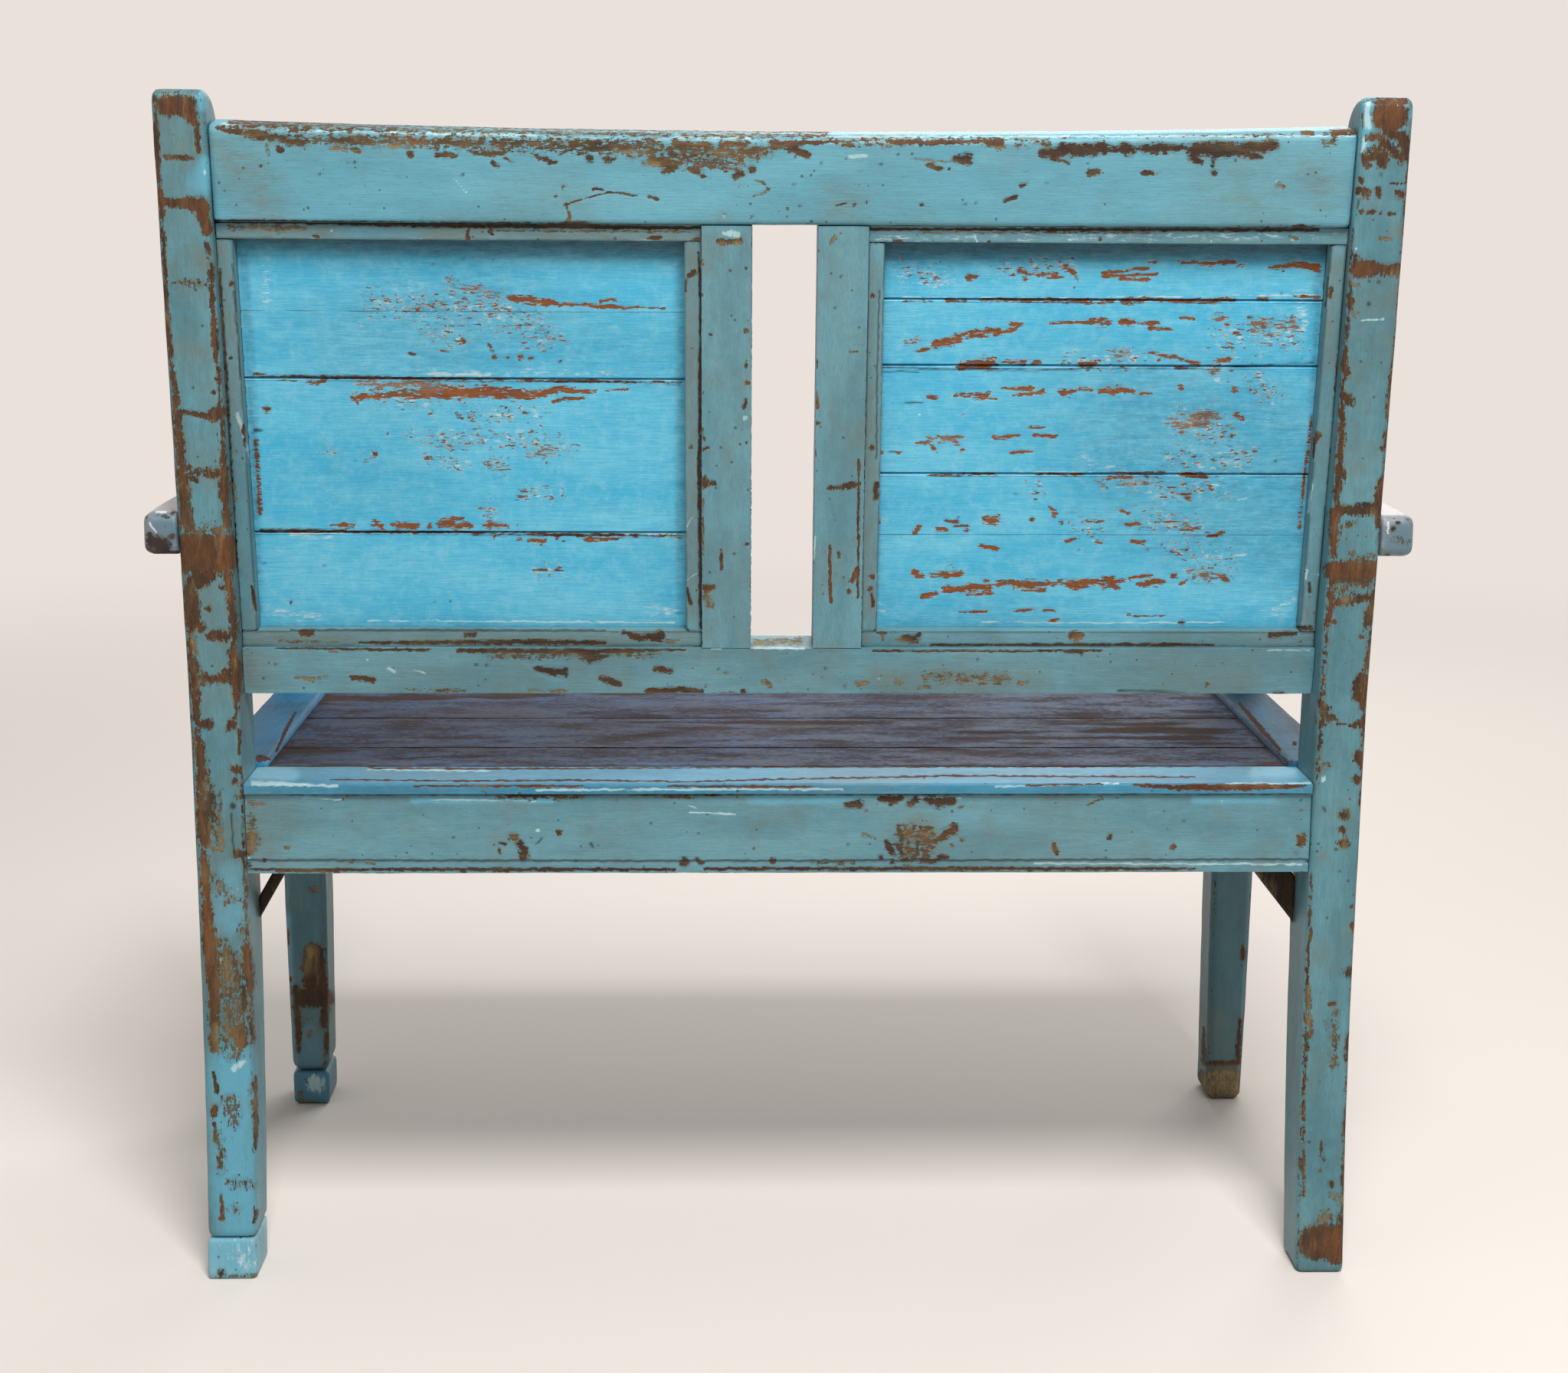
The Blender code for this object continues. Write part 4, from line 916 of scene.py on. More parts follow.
TOP_RAIL = {
    "worn": (
        (285, 168, 4, 340, 163, 4.5, 620, 166, 5, 870, 170, 5, 1080, 177, 3),
        (325, 178, 6, 400, 185, 6, 560, 187, 8, 700, 188, 9, 860, 196, 11, 960, 200, 9, 1040, 191, 5),
        (870, 210, 6, 930, 217, 6, 965, 222, 3), (1080, 184, 3, 1300, 186, 3),
        (1370, 198, 7, 1500, 193, 6, 1580, 194, 8, 1660, 190, 5),
    ),
    "black": SHADOW_UNDER_RAIL,
    "rust": (
        (292, 170, 3, 320, 173, 4, 348, 173, 3),
        (300, 158, 3.5, 460, 161, 4.5, 620, 164, 5, 760, 167, 5, 900, 169, 4.5, 1080, 172, 2.5),
        (880, 187, 4, 925, 190, 4), (940, 189, 4, 975, 187, 4),
        (1010, 188, 5, 1060, 186, 3, 1100, 184, 2), (1165, 185, 4, 1235, 186, 4, 1290, 183, 2),
        (1292, 186, 6, 1305, 187, 7), (1030, 195, 4, 1055, 203, 4), (1740, 172, 5, 1775, 170, 5),
        (1168, 299, 3, 1175, 300, 3), (1390, 301, 2, 1405, 299, 3, 1440, 300, 2),
        (1683, 300, 1.5, 1697, 295, 2.5, 1714, 300, 1.5), (738, 294, 4, 765, 293, 4),
        (1700, 173, 3, 1712, 173, 3),
    ),
    "brown": (
        (1362, 200, 5, 1377, 202, 8), (1385, 196, 8, 1420, 196, 8, 1440, 193, 7),
        (1440, 198, 3, 1458, 197, 3), (1468, 194, 8, 1476, 196, 7),
        (1493, 195, 5, 1510, 193, 6, 1550, 193, 3),
        (1560, 195, 8, 1590, 195, 11, 1612, 196, 8, 1662, 190, 7), (1556, 204, 5, 1565, 212, 4),
        (1583, 210, 3, 1584, 217, 2), (1628, 202, 5, 1645, 205, 3), (1585, 225, 3.5),
        (330, 177, 3, 372, 181, 4), (375, 184, 3, 395, 187, 4), (430, 182, 4, 455, 183, 4), (800, 208, 2),
        (794, 208, 4.5), (770, 207, 4.5), (960, 230, 4, 967, 226, 4), (981, 221, 4.5),
        (1247, 208, 4, 1262, 206, 6, 1265, 212, 4),
    ),
    "broken": (
        (318, 177, 7, 380, 182, 10, 470, 181, 10, 560, 184, 12, 640, 188, 13),
        (640, 188, 13, 760, 190, 14, 850, 195, 15),
        (850, 195, 15, 905, 206, 18, 960, 205, 16, 1000, 196, 11, 1040, 190, 8),
        (375, 168, 6, 700, 172, 6, 1000, 178, 5), (1100, 186, 5, 1160, 190, 5),
        (1330, 188, 7, 1370, 186, 6),
    ),
    "bare": (
        (340, 217, 2), (365, 195, 4), (463, 195, 4, 468, 198, 3), (535, 200, 4, 536, 204, 3),
        (570, 203, 3, 595, 203, 3), (620, 201, 3, 650, 201, 3, 660, 199, 2), (643, 213, 3, 650, 217, 3),
        (660, 207, 2, 668, 212, 2), (700, 204, 3, 712, 208, 4), (718, 213, 4, 726, 212, 2),
        (850, 210, 6, 872, 212, 8), (870, 223, 5, 880, 219, 4), (900, 220, 3, 918, 229, 3),
        (1212, 215, 3, 1228, 221, 3), (1239, 220, 2), (1422, 226, 4, 1432, 225, 4),
        (1333, 242, 3, 1340, 241, 2), (1312, 262, 3, 1326, 257, 3), (1203, 267, 2.5), (1116, 267, 3),
        (1132, 264, 2), (1092, 268, 1, 1105, 265, 1), (1493, 226, 3, 1502, 226, 3), (1510, 227, 2),
        (738, 268, 1, 755, 261, 1, 795, 251, 1, 815, 253, 1.5, 832, 256, 1),
        (739, 266, 1.5, 743, 280, 2, 742, 293, 3), (725, 256, 2), (735, 243, 2),
        (848, 257, 2, 858, 260, 2), (775, 247, 2, 787, 247, 1.5), (1500, 195, 4),
        (1387, 300, 1.5, 1440, 300, 2), (1100, 190, 2, 1115, 190, 2),
    ),
    "ochre": (
        (985, 235, 1.5, 998, 240, 2, 1003, 246, 2, 998, 253, 2.5, 985, 255, 1.5),
        (979, 285, 2, 982, 282, 2), (1668, 242, 4, 1674, 244, 3), (1727, 185, 5, 1740, 187, 6),
        (1383, 209, 2, 1395, 212, 3), (430, 193, 3, 455, 195, 3), (500, 190, 3, 530, 193, 3),
        (690, 187, 3, 720, 190, 3), (800, 196, 3, 840, 200, 3), (840, 214, 3, 860, 216, 3),
        (900, 199, 3, 950, 200, 3), (348, 190, 3, 350, 200, 3), (1295, 194, 2, 1312, 192, 2),
        (1105, 207, 2), (1192, 208, 2, 1240, 212, 2), (1420, 214, 2), (293, 249, 2),
    ),
    "crack": (
        (417, 227, 1.8), (463, 212, 1.8), (455, 212, 1.3), (604, 228, 1.8), (1073, 213, 1.6),
        (1150, 215, 1.8), (1172, 202, 1.8), (1240, 187, 1.8), (945, 279, 1.4), (535, 200, 1.2),
        (1044, 269, 1.5), (1037, 241, 1.5), (1260, 266, 1.5), (1274, 265, 1.5), (1367, 239, 1.3),
    ),
    # The long thin line along the rail's crown at y 177 to 178, from x 1060 to 1770, is a painted
    # highlight; the other strokes are rubbed pale paint.
    "rub_and_highlight": (
        (593, 234, 1, 610, 252, 1), (290, 161, 2, 305, 162, 3), (375, 170, 1.5, 620, 175, 2, 700, 176, 2),
        (880, 178, 2, 980, 180, 2), (1060, 178, 1.5, 1320, 178, 1.5, 1770, 177, 1.5), (1010, 177, 2),
        (1667, 236, 2), (945, 284, 2.5), (1110, 205, 3, 1130, 204, 3),
    ),
    "soil_and_shade": (
        (295, 200, 26, 330, 240, 30, 345, 275, 26), (945, 285, 9), (1100, 270, 30), (1720, 240, 34),
    ),
}
LEFT_TOP_BEAD = {
    "black": SHADOW_UNDER_RAIL,
    "ochre": (
        (300, 297, 4, 380, 298, 4, 400, 298, 2), (363, 304, 3), (545, 312, 2),
        (640, 301, 1.5, 900, 303, 1.5),
    ),
    "rust": (
        (612, 300, 2, 610, 314, 3), (640, 301, 3), (846, 311, 2, 860, 311, 3), (903, 314, 2, 911, 312, 3),
        (410, 309, 2, 416, 310, 2), (643, 307, 2),
    ),
    "rub_and_highlight": ((826, 316, 1.5, 840, 313, 1.5, 858, 317, 1.5), (433, 301, 2)),
    # Painted shade along the bead, in the corners where it meets the frame and panel.
    "soil_and_shade": ((300, 303, 12, 420, 303, 10), (560, 307, 8, 880, 308, 8)),
}
RIGHT_TOP_BEAD = {
    "black": SHADOW_UNDER_RAIL,
    "ochre": ((1132, 306, 4), (1200, 304, 1.2, 1500, 304, 1.2), (1686, 308, 2, 1692, 312, 3)),
    "rust": ((1168, 314, 3, 1177, 318, 3), (1436, 312, 2.5), (1291, 316, 2)),
    "rub_and_highlight": ((1273, 308, 1.5, 1276, 316, 1.5), (1262, 319, 1.5), (1582, 315, 1.5)),
    "wash": ((1150, 312, 9, 1750, 308, 9),),
}
LEFT_OUTER_BEAD = {
    "brown": (
        (287, 352, 1.5, 290, 420, 2, 294, 480, 2.5, 298, 560, 2.5, 303, 650, 2.5, 307, 720, 2),
        (309, 745, 2, 312, 800, 1), (302, 370, 3), (318, 556, 2, 320, 582, 2),
        (328, 765, 1.5, 331, 780, 2.5, 334, 796, 2), (301, 467, 2),
    ),
    "ochre": ((305, 630, 2.5, 307, 652, 2.5), (309, 740, 2, 311, 765, 2), (308, 590, 3)),
    "crack": (
        (303, 345, 1, 306, 380, 1.5, 308, 420, 1.2, 311, 440, 1, 313, 495, 1), (333, 563, 3),
        (316, 599, 1.5),
    ),
    "rub_and_highlight": ((305, 355, 1.2, 305, 378, 1.2), (308, 395, 1.2), (310, 540, 3, 328, 600, 2)),
    # Painted shade along the bead, in the corners where it meets the frame and panel.
    "soil_and_shade": ((287, 320, 9, 293, 420, 9),),
}
LEFT_INNER_BEAD = {
    "rust": ((905, 356, 4, 900, 361, 3), (896, 366, 2, 895, 380, 1.5), (902, 583, 3)),
    "brown": (
        (912, 330, 1.5, 915, 400, 1.5, 914, 470, 1.8, 914, 560, 2, 913, 610, 2.5, 914, 700, 2),
        (914, 700, 2, 915, 820, 2), (889, 398, 2, 888, 420, 2, 889, 480, 1.5),
        (889, 560, 2, 890, 640, 2, 891, 745, 1.5), (896, 768, 1.5, 901, 786, 2.5),
    ),
    "rub_and_highlight": ((903, 675, 1, 897, 688, 1), (897, 757, 1, 910, 748, 1)),
    # Painted shade along the bead, in the corners where it meets the frame and panel.
    "soil_and_shade": ((902, 340, 9, 902, 800, 9),),
}
RIGHT_INNER_BEAD = {
    "rust": ((1139, 386, 3), (1138, 585, 3.5), (1136, 770, 4), (1139, 752, 3)),
    "brown": (
        (1127, 335, 2, 1127, 346, 2),
        (1127, 390, 1.2, 1125, 450, 1.2, 1124, 500, 2.5, 1123, 570, 2.5, 1121, 700, 2.5),
        (1144, 632, 3, 1143, 650, 3), (1138, 775, 2, 1140, 790, 2),
    ),
    "ochre": ((1126, 500, 1.2, 1125, 600, 1.2, 1123, 720, 1.5),),
    "crack": ((1148, 380, 0.8, 1145, 480, 0.8, 1144, 598, 0.8),),
    # Painted shade along the bead, in the corners where it meets the frame and panel.
    "soil_and_shade": ((1135, 350, 9, 1130, 800, 9),),
}
RIGHT_OUTER_BEAD = {
    "rust": ((1737, 378, 3, 1736, 386, 3), (1720, 568, 4.5, 1716, 578, 3)),
    "brown": (
        (1716, 580, 1.5, 1713, 598, 1), (1709, 762, 2, 1710, 771, 2), (1747, 462, 1.2, 1743, 510, 1.2),
        (1712, 820, 3, 1690, 819, 2),
    ),
    "crack": ((1733, 362, 1.2, 1730, 400, 1), (1741, 560, 0.8, 1735, 640, 0.8, 1731, 710, 0.8)),
    "rub_and_highlight": ((1713, 632, 1.5, 1708, 668, 2), (1706, 745, 2, 1705, 756, 1.5), (1721, 750, 1.2)),
    # Painted shade along the bead, in the corners where it meets the frame and panel.
    "soil_and_shade": ((1740, 350, 9, 1735, 480, 9), (1708, 800, 10)),
}
LEFT_STILE = {
    "ochre": (
        (940, 318, 3, 965, 319, 3), (917, 345, 2), (917, 560, 2, 918, 575, 2),
        (918, 650, 1.5, 918, 725, 1.5), (924, 780, 6, 926, 790, 5), (954, 353, 2), (918, 512, 2),
    ),
    "rust": (
        (938, 315, 3, 950, 315, 3, 966, 316, 4), (919, 630, 7, 932, 631, 3), (922, 768, 5, 931, 767, 3),
        (918, 587, 2, 926, 585, 1.5), (941, 718, 1.5, 942, 742, 2), (975, 432, 3), (975, 500, 3),
        (974, 350, 2),
    ),
    "bare": (
        (915, 340, 2), (916, 385, 2), (972, 530, 3, 974, 522, 2), (975, 578, 2), (975, 710, 2),
        (974, 480, 2, 975, 470, 1), (927, 437, 2),
    ),
    "rub_and_highlight": ((945, 304, 3, 962, 306, 5), (973, 545, 3), (952, 304, 3)),
    "crack": ((960, 558, 1.5), (927, 437, 1.3), (976, 640, 1)),
}
RIGHT_STILE = {
    "ochre": ((1085, 318, 2, 1090, 310, 3), (1097, 304, 2), (1110, 459, 2, 1120, 459, 1.5)),
    "rust": (
        (1112, 759, 3, 1118, 745, 3), (1083, 712, 1.5, 1083, 735, 2, 1085, 785, 2),
        (1094, 722, 2, 1095, 728, 2), (1108, 772, 3),
    ),
    "bare": (
        (1063, 512, 3, 1065, 530, 4), (1064, 552, 3, 1070, 553, 2), (1063, 575, 2, 1063, 595, 2),
        (1083, 637, 3, 1098, 636, 3, 1119, 632, 4), (1065, 470, 2, 1066, 482, 1.5), (1068, 328, 2),
        (1121, 600, 1.5, 1120, 780, 1.5),
    ),
    "rub_and_highlight": ((1063, 700, 1.5, 1063, 728, 1.5),),
    "crack": ((1090, 402, 1.5), (1098, 362, 1.3), (1101, 571, 1.2)),
}
LEFT_BOTTOM_BEAD = {
    "rust": ((394, 826, 4, 405, 826, 5),),
    "brown": (
        (470, 839, 1.2, 550, 839, 2.2, 700, 838, 3, 790, 839, 2), (608, 829, 2.5, 620, 828, 2.5),
        (815, 826, 3, 835, 832, 4, 862, 830, 6),
    ),
    "ochre": ((870, 837, 3, 886, 836, 2), (365, 837, 2, 440, 839, 1.5)),
    "crack": ((848, 833, 2), (380, 822, 1, 560, 822, 1.3, 790, 823, 1.2)),
    # Painted shade along the bead, in the corners where it meets the frame and panel.
    "soil_and_shade": ((320, 833, 16, 620, 834, 14, 900, 833, 14),),
}
RIGHT_BOTTOM_BEAD = {
    "rust": ((1146, 826, 2, 1156, 827, 2), (1400, 828, 5, 1412, 830, 4), (1405, 835, 3)),
    "brown": (
        (1180, 833, 4, 1195, 834, 5, 1200, 827, 2),
        (1215, 842, 1.2, 1400, 842, 2, 1540, 842, 2, 1585, 842, 1.2), (1660, 829, 4, 1690, 827, 3),
    ),
    "ochre": ((1172, 836, 3, 1190, 838, 3), (1672, 835, 3), (1152, 831, 2)),
    "rub_and_highlight": ((1130, 846, 2, 1190, 845, 1.5), (1560, 847, 1, 1720, 848, 1)),
    # Painted shade along the bead, in the corners where it meets the frame and panel.
    "soil_and_shade": ((1130, 832, 8), (1700, 835, 12)),
}
LOWER_RAIL = {
    "brown": (
        (360, 846, 1.2, 420, 846, 1.8, 500, 848, 1.8, 560, 848, 2.2),
        (600, 849, 2.5, 700, 850, 3.5, 770, 851, 4, 840, 849, 2, 895, 848, 1),
        (762, 856, 6, 778, 857, 6, 771, 863, 4), (700, 873, 3, 715, 876, 4, 736, 878, 5),
        (784, 885, 3, 795, 889, 4, 808, 893, 3), (857, 873, 4, 875, 876, 3),
        (845, 902, 3, 880, 901, 4, 915, 903, 3), (970, 903, 3),
        (1140, 850, 1, 1300, 850, 1.2, 1440, 849, 1.2), (1390, 850, 2, 1412, 851, 2.5),
    ),
    "rust": ((462, 885, 4, 487, 888, 4), (1662, 905, 2, 1675, 906, 2)),
    "ochre": (
        (385, 884, 2, 408, 886, 3, 428, 883, 1.5), (345, 886, 2), (430, 851, 2, 443, 852, 2),
        (728, 857, 3), (948, 878, 3), (922, 895, 3), (930, 904, 1.5, 960, 904, 1.5),
        (995, 890, 3, 1005, 894, 4), (1103, 896, 3), (1118, 892, 3, 1130, 892, 4),
        (1170, 890, 4, 1178, 893, 3), (1202, 897, 4, 1212, 898, 3), (1150, 904, 1.2, 1250, 904, 1.2),
        (1330, 892, 3, 1340, 892, 4), (1577, 894, 3.5), (1620, 897, 2), (985, 838, 5, 1045, 836, 5),
        (575, 902, 1.5, 600, 902, 1.5), (690, 901, 2, 740, 902, 2),
    ),
    "broken": ((1210, 883, 9, 1310, 886, 9), (520, 901, 3, 610, 901, 3), (640, 857, 5, 860, 855, 4)),
    "rub_and_highlight": (
        (507, 872, 2.5, 515, 877, 2), (540, 874, 1.5, 555, 879, 1), (930, 846, 2, 940, 846, 2),
        (985, 846, 2, 1050, 846, 2), (850, 903, 2, 862, 905, 1.5), (1147, 885, 2), (1590, 868, 1.2),
        (480, 861, 1.2), (1650, 848, 1, 1710, 848, 1),
    ),
    "crack": (
        (1460, 902, 1.2, 1515, 903, 2, 1545, 905, 1), (622, 868, 2), (635, 869, 1.5), (1078, 873, 1.5),
        (938, 873, 1.5), (1277, 860, 1.5), (360, 867, 1.3),
    ),
    "soil_and_shade": ((330, 870, 22), (1150, 890, 16, 1350, 890, 16)),
}
STRIP = {
    "brown": (
        (480, 1002, 0.8, 650, 1003, 1, 1000, 1001, 0.8, 1600, 1000, 0.6),
        (430, 1017, 0.6, 600, 1019, 0.9, 760, 1018, 1, 900, 1020, 0.8, 1000, 1017, 1),
        (1000, 1017, 1, 1150, 1014, 1, 1250, 1012, 1, 1400, 1013, 1, 1560, 1014, 0.8),
    ),
    "rust": (
        (540, 1026, 1, 700, 1026, 2, 760, 1026, 1), (870, 1026, 0.8, 1000, 1027, 1.4, 1060, 1027, 1),
        (1340, 1025, 1.2, 1440, 1023, 0.8),
        (1480, 1024, 1.5, 1530, 1028, 4, 1640, 1027, 4, 1705, 1026, 2), (1206, 1015, 1.5),
    ),
    # The pale lines along the strip's rounded rear edge, at y 1022 to 1031, are partly a painted
    # highlight and partly rubbed paint.
    "rub_and_highlight": (
        (330, 1022, 4, 440, 1026, 2), (700, 1031, 1.5, 1100, 1030, 1.5),
        (1300, 1027, 1.2, 1460, 1022, 1.2), (1600, 1022, 1, 1710, 1022, 1.2),
        (480, 1004, 1, 640, 1006, 1),
    ),
    "fresh": ((330, 1005, 9, 380, 1010, 8), (1640, 1008, 8, 1700, 1005, 8)),
}
APRON = {
    "fresh": (
        (330, 1037, 6, 370, 1040, 5, 430, 1037, 4), (540, 1044, 4, 720, 1044, 4),
        (980, 1043, 6, 1160, 1040, 4), (1560, 1044, 5, 1660, 1043, 5),
    ),
    "brown": (
        (383, 1036, 1.5, 398, 1035, 1.5), (660, 1038, 1.8, 700, 1037, 2.5, 755, 1038, 2.5),
        (830, 1037, 1, 940, 1037, 1.2), (1200, 1036, 1.5, 1250, 1036, 1.5),
        (1105, 1051, 3.5, 1122, 1050, 5), (1150, 1042, 4, 1165, 1043, 6, 1175, 1041, 4), (1163, 1050, 3),
        (1188, 1049, 4, 1196, 1044, 4), (1210, 1043, 4, 1225, 1048, 6, 1245, 1045, 4),
        (1173, 1078, 2, 1177, 1096, 3), (1157, 1100, 3, 1165, 1112, 4), (1172, 1103, 3, 1178, 1116, 3),
        (1197, 1098, 1.5, 1197, 1111, 2.5), (1150, 1119, 3), (678, 1101, 4, 684, 1108, 4),
        (653, 1100, 2, 659, 1102, 2), (652, 1108, 1.5, 653, 1113, 1.5), (1165, 1125, 3), (1183, 1122, 4),
        (1203, 1125, 3, 1220, 1124, 3), (1228, 1119, 4, 1236, 1119, 3), (893, 1125, 5),
        (910, 1122, 3, 915, 1126, 3),
        (325, 1135, 1.4, 440, 1135, 1.4, 560, 1135, 2, 650, 1135, 2.4, 880, 1135, 1.6),
        (920, 1134, 1.6, 1000, 1134, 2, 1120, 1134, 2.2, 1280, 1134, 2.4, 1560, 1134, 1.4),
        (325, 1131, 3),
    ),
    "rust": (
        (1186, 1087, 5), (1208, 1100, 2.5, 1222, 1098, 3, 1236, 1089, 6, 1246, 1082, 6), (1209, 1112, 6),
        (1205, 1093, 3, 1211, 1082, 4), (671, 1093, 6), (683, 1117, 7), (730, 1086, 4), (1449, 1092, 4),
        (1531, 1106, 4), (1376, 1101, 2, 1379, 1112, 3), (1700, 1093, 5, 1699, 1102, 5), (345, 1123, 2.5),
        (360, 1136, 2, 440, 1137, 2), (1009, 1123, 4), (1188, 1108, 4), (1256, 1096, 3),
        (324, 1092, 5, 325, 1112, 5),
    ),
    "ochre": (
        (328, 1065, 5, 330, 1085, 7, 332, 1105, 7), (328, 1050, 5, 345, 1050, 2), (375, 1107, 4),
        (455, 1127, 1.5, 490, 1127, 1.5), (690, 1045, 3), (660, 1041, 2), (1127, 1090, 3, 1143, 1094, 2),
        (1130, 1057, 2.5), (1252, 1054, 3, 1258, 1051, 2), (1243, 1103, 3), (1692, 1112, 4),
        (1712, 1085, 2, 1713, 1100, 3), (1698, 1058, 3), (1435, 1040, 2), (855, 1040, 1.5, 905, 1041, 2),
        (1420, 1050, 2, 1440, 1042, 2), (805, 1044, 2),
    ),
    "broken": ((1195, 1100, 30), (650, 1040, 4, 760, 1041, 4), (1060, 1126, 3, 1115, 1126, 3)),
    "rub_and_highlight": (
        (395, 1041, 1, 447, 1044, 1), (560, 1044, 1.2, 700, 1045, 1.2), (702, 1084, 3),
        (1200, 1041, 1, 1255, 1042, 1), (900, 1052, 1, 910, 1056, 1), (1350, 1127, 1.2, 1700, 1128, 1.4),
        (900, 1060, 1, 960, 1063, 1.2), (1595, 1044, 2), (325, 1120, 2),
    ),
    "crack": (
        (318, 1123, 1.4, 900, 1124, 1.4, 1716, 1122, 1.4),
        (318, 1036, 1.6, 900, 1036, 2, 1716, 1035, 1.6), (771, 1102, 2, 774, 1106, 1.5), (850, 1075, 1.5),
        (911, 1088, 1.3), (593, 1093, 1.4), (1107, 1102, 1.3), (1698, 1044, 1.3), (1545, 1071, 1.3),
        (1443, 1120, 1.3), (700, 1101, 0.8, 708, 1094, 0.8),
    ),
    "soil_and_shade": ((1195, 1095, 26), (345, 1100, 18)),
}
LEFT_PANEL = {
    "rust": (
        (660, 388, 2, 674, 391, 4, 692, 392, 5, 708, 395, 4, 730, 397, 3, 760, 398, 2),
        (760, 398, 2, 790, 401, 3, 830, 401, 1.4, 868, 403, 1), (782, 393, 1.5, 798, 391, 2, 804, 393, 1),
        (468, 519, 4, 500, 517, 4, 540, 514, 6, 580, 512, 8, 640, 513, 7, 700, 516, 5),
        (700, 516, 5, 716, 511, 4, 735, 508, 4, 760, 511, 2.5, 778, 511, 2),
        (500, 503, 3, 540, 501, 3, 568, 507, 5), (790, 510, 1.2, 820, 509, 1.2),
        (722, 525, 2, 738, 521, 2.5, 765, 521, 1.2), (460, 518, 3, 467, 525, 2),
        (400, 498, 1.5, 414, 500, 3.5, 424, 497, 2), (362, 497, 1.2, 388, 497, 1.2),
        (432, 687, 1.5, 452, 686, 3), (462, 685, 3), (490, 684, 4, 499, 687, 4),
        (512, 685, 3, 528, 686, 4, 546, 686, 3.5), (560, 687, 3), (575, 684, 4, 600, 685, 5, 616, 687, 3),
        (578, 677, 2, 605, 677, 1.5), (632, 686, 3, 645, 686, 4, 661, 686, 3), (675, 687, 1.5),
        (645, 702, 2), (678, 704, 3.5), (694, 705, 4, 710, 706, 3), (706, 711, 2.5), (736, 707, 2),
        (755, 702, 1.5, 772, 705, 2.5, 802, 704, 1.5, 820, 702, 1),
    ),
    "brown": (
        (348, 535, 4), (535, 462, 2, 543, 463, 1.5), (646, 465, 3), (638, 449, 1.5, 644, 460, 1.5),
        (663, 466, 2), (679, 466, 3.5), (693, 468, 3), (714, 472, 1.5), (731, 472, 2),
        (603, 441, 1, 606, 447, 1.5), (577, 458, 1.5, 585, 459, 1), (683, 538, 1.5, 690, 540, 1),
        (655, 540, 1.5), (598, 544, 2, 604, 547, 1.5), (728, 702, 2.5),
        (334, 575, 2.5, 337, 620, 2, 339, 670, 2.5), (703, 744, 1.5, 713, 744, 1.5),
        (725, 744, 1.5, 733, 745, 1), (643, 339, 1.5), (506, 567, 1.5), (490, 592, 2.5), (463, 602, 1.5),
        (380, 786, 2),
    ),
    "broken": (
        (585, 362, 5, 592, 373, 7, 615, 377, 8, 650, 386, 8), (470, 500, 6, 520, 503, 7, 570, 503, 7),
        (560, 577, 4, 590, 582, 5, 625, 578, 5), (640, 605, 9, 655, 614, 8), (690, 590, 7, 720, 590, 7),
        (630, 662, 5, 640, 675, 5), (680, 650, 5),
    ),
    "fleck": (
        (490, 395, 22, 560, 400, 26, 640, 405, 28, 700, 425, 26), (470, 425, 8),
        (560, 430, 20, 600, 440, 18), (690, 445, 16, 735, 445, 12),
        (540, 568, 14, 600, 570, 18, 680, 575, 22, 740, 585, 18), (650, 608, 22),
        (560, 598, 12, 605, 605, 14), (480, 598, 16), (430, 590, 12), (690, 645, 18, 730, 645, 12),
        (640, 665, 14), (610, 545, 18, 700, 540, 16), (480, 510, 14, 560, 530, 16),
        (700, 745, 12, 735, 745, 12),
    ),
    # The thin pale lines along the board joints are painted highlights on the boards' edges; the rest are
    # rubbed pale paint.
    "rub_and_highlight": (
        (380, 696, 3, 418, 695, 3), (560, 488, 2.5, 640, 489, 2),
        (480, 810, 1, 640, 811, 1, 800, 812, 1.5, 880, 813, 1.2), (425, 695, 1, 890, 698, 1),
        (340, 492, 1, 700, 497, 1),
    ),
    "crack": (
        (566, 345, 1.3), (604, 338, 1.3), (424, 738, 1.5), (587, 785, 1.2), (568, 785, 1.2),
        (333, 562, 3, 342, 562, 1), (345, 735, 1.5),
    ),
    "wash": (
        (345, 345, 14, 350, 400, 10), (370, 690, 6, 430, 700, 10), (520, 486, 8, 800, 488, 8),
        (350, 800, 16, 420, 806, 10), (850, 795, 18, 880, 800, 10),
    ),
    # Painted shadow cast by the top bead across the top of the panel.
    "painted_shadow": ((312, 313, 7, 600, 317, 9, 895, 319, 10),),
    "shade": (
        (318, 320, 5, 600, 327, 7, 893, 331, 9), (318, 330, 4, 330, 560, 4, 338, 800, 3),
        (887, 340, 3, 888, 800, 3),
    ),
    "black": (
        (330, 489.5, 1.4, 400, 491.5, 1.4, 500, 493.5, 1.4, 620, 495.5, 1.4, 890, 499.5, 1.4),
        (340, 692.5, 1.4, 480, 694, 1.4, 620, 695.5, 1.4, 760, 698, 1.4, 890, 699.5, 1.4),
    ),
}
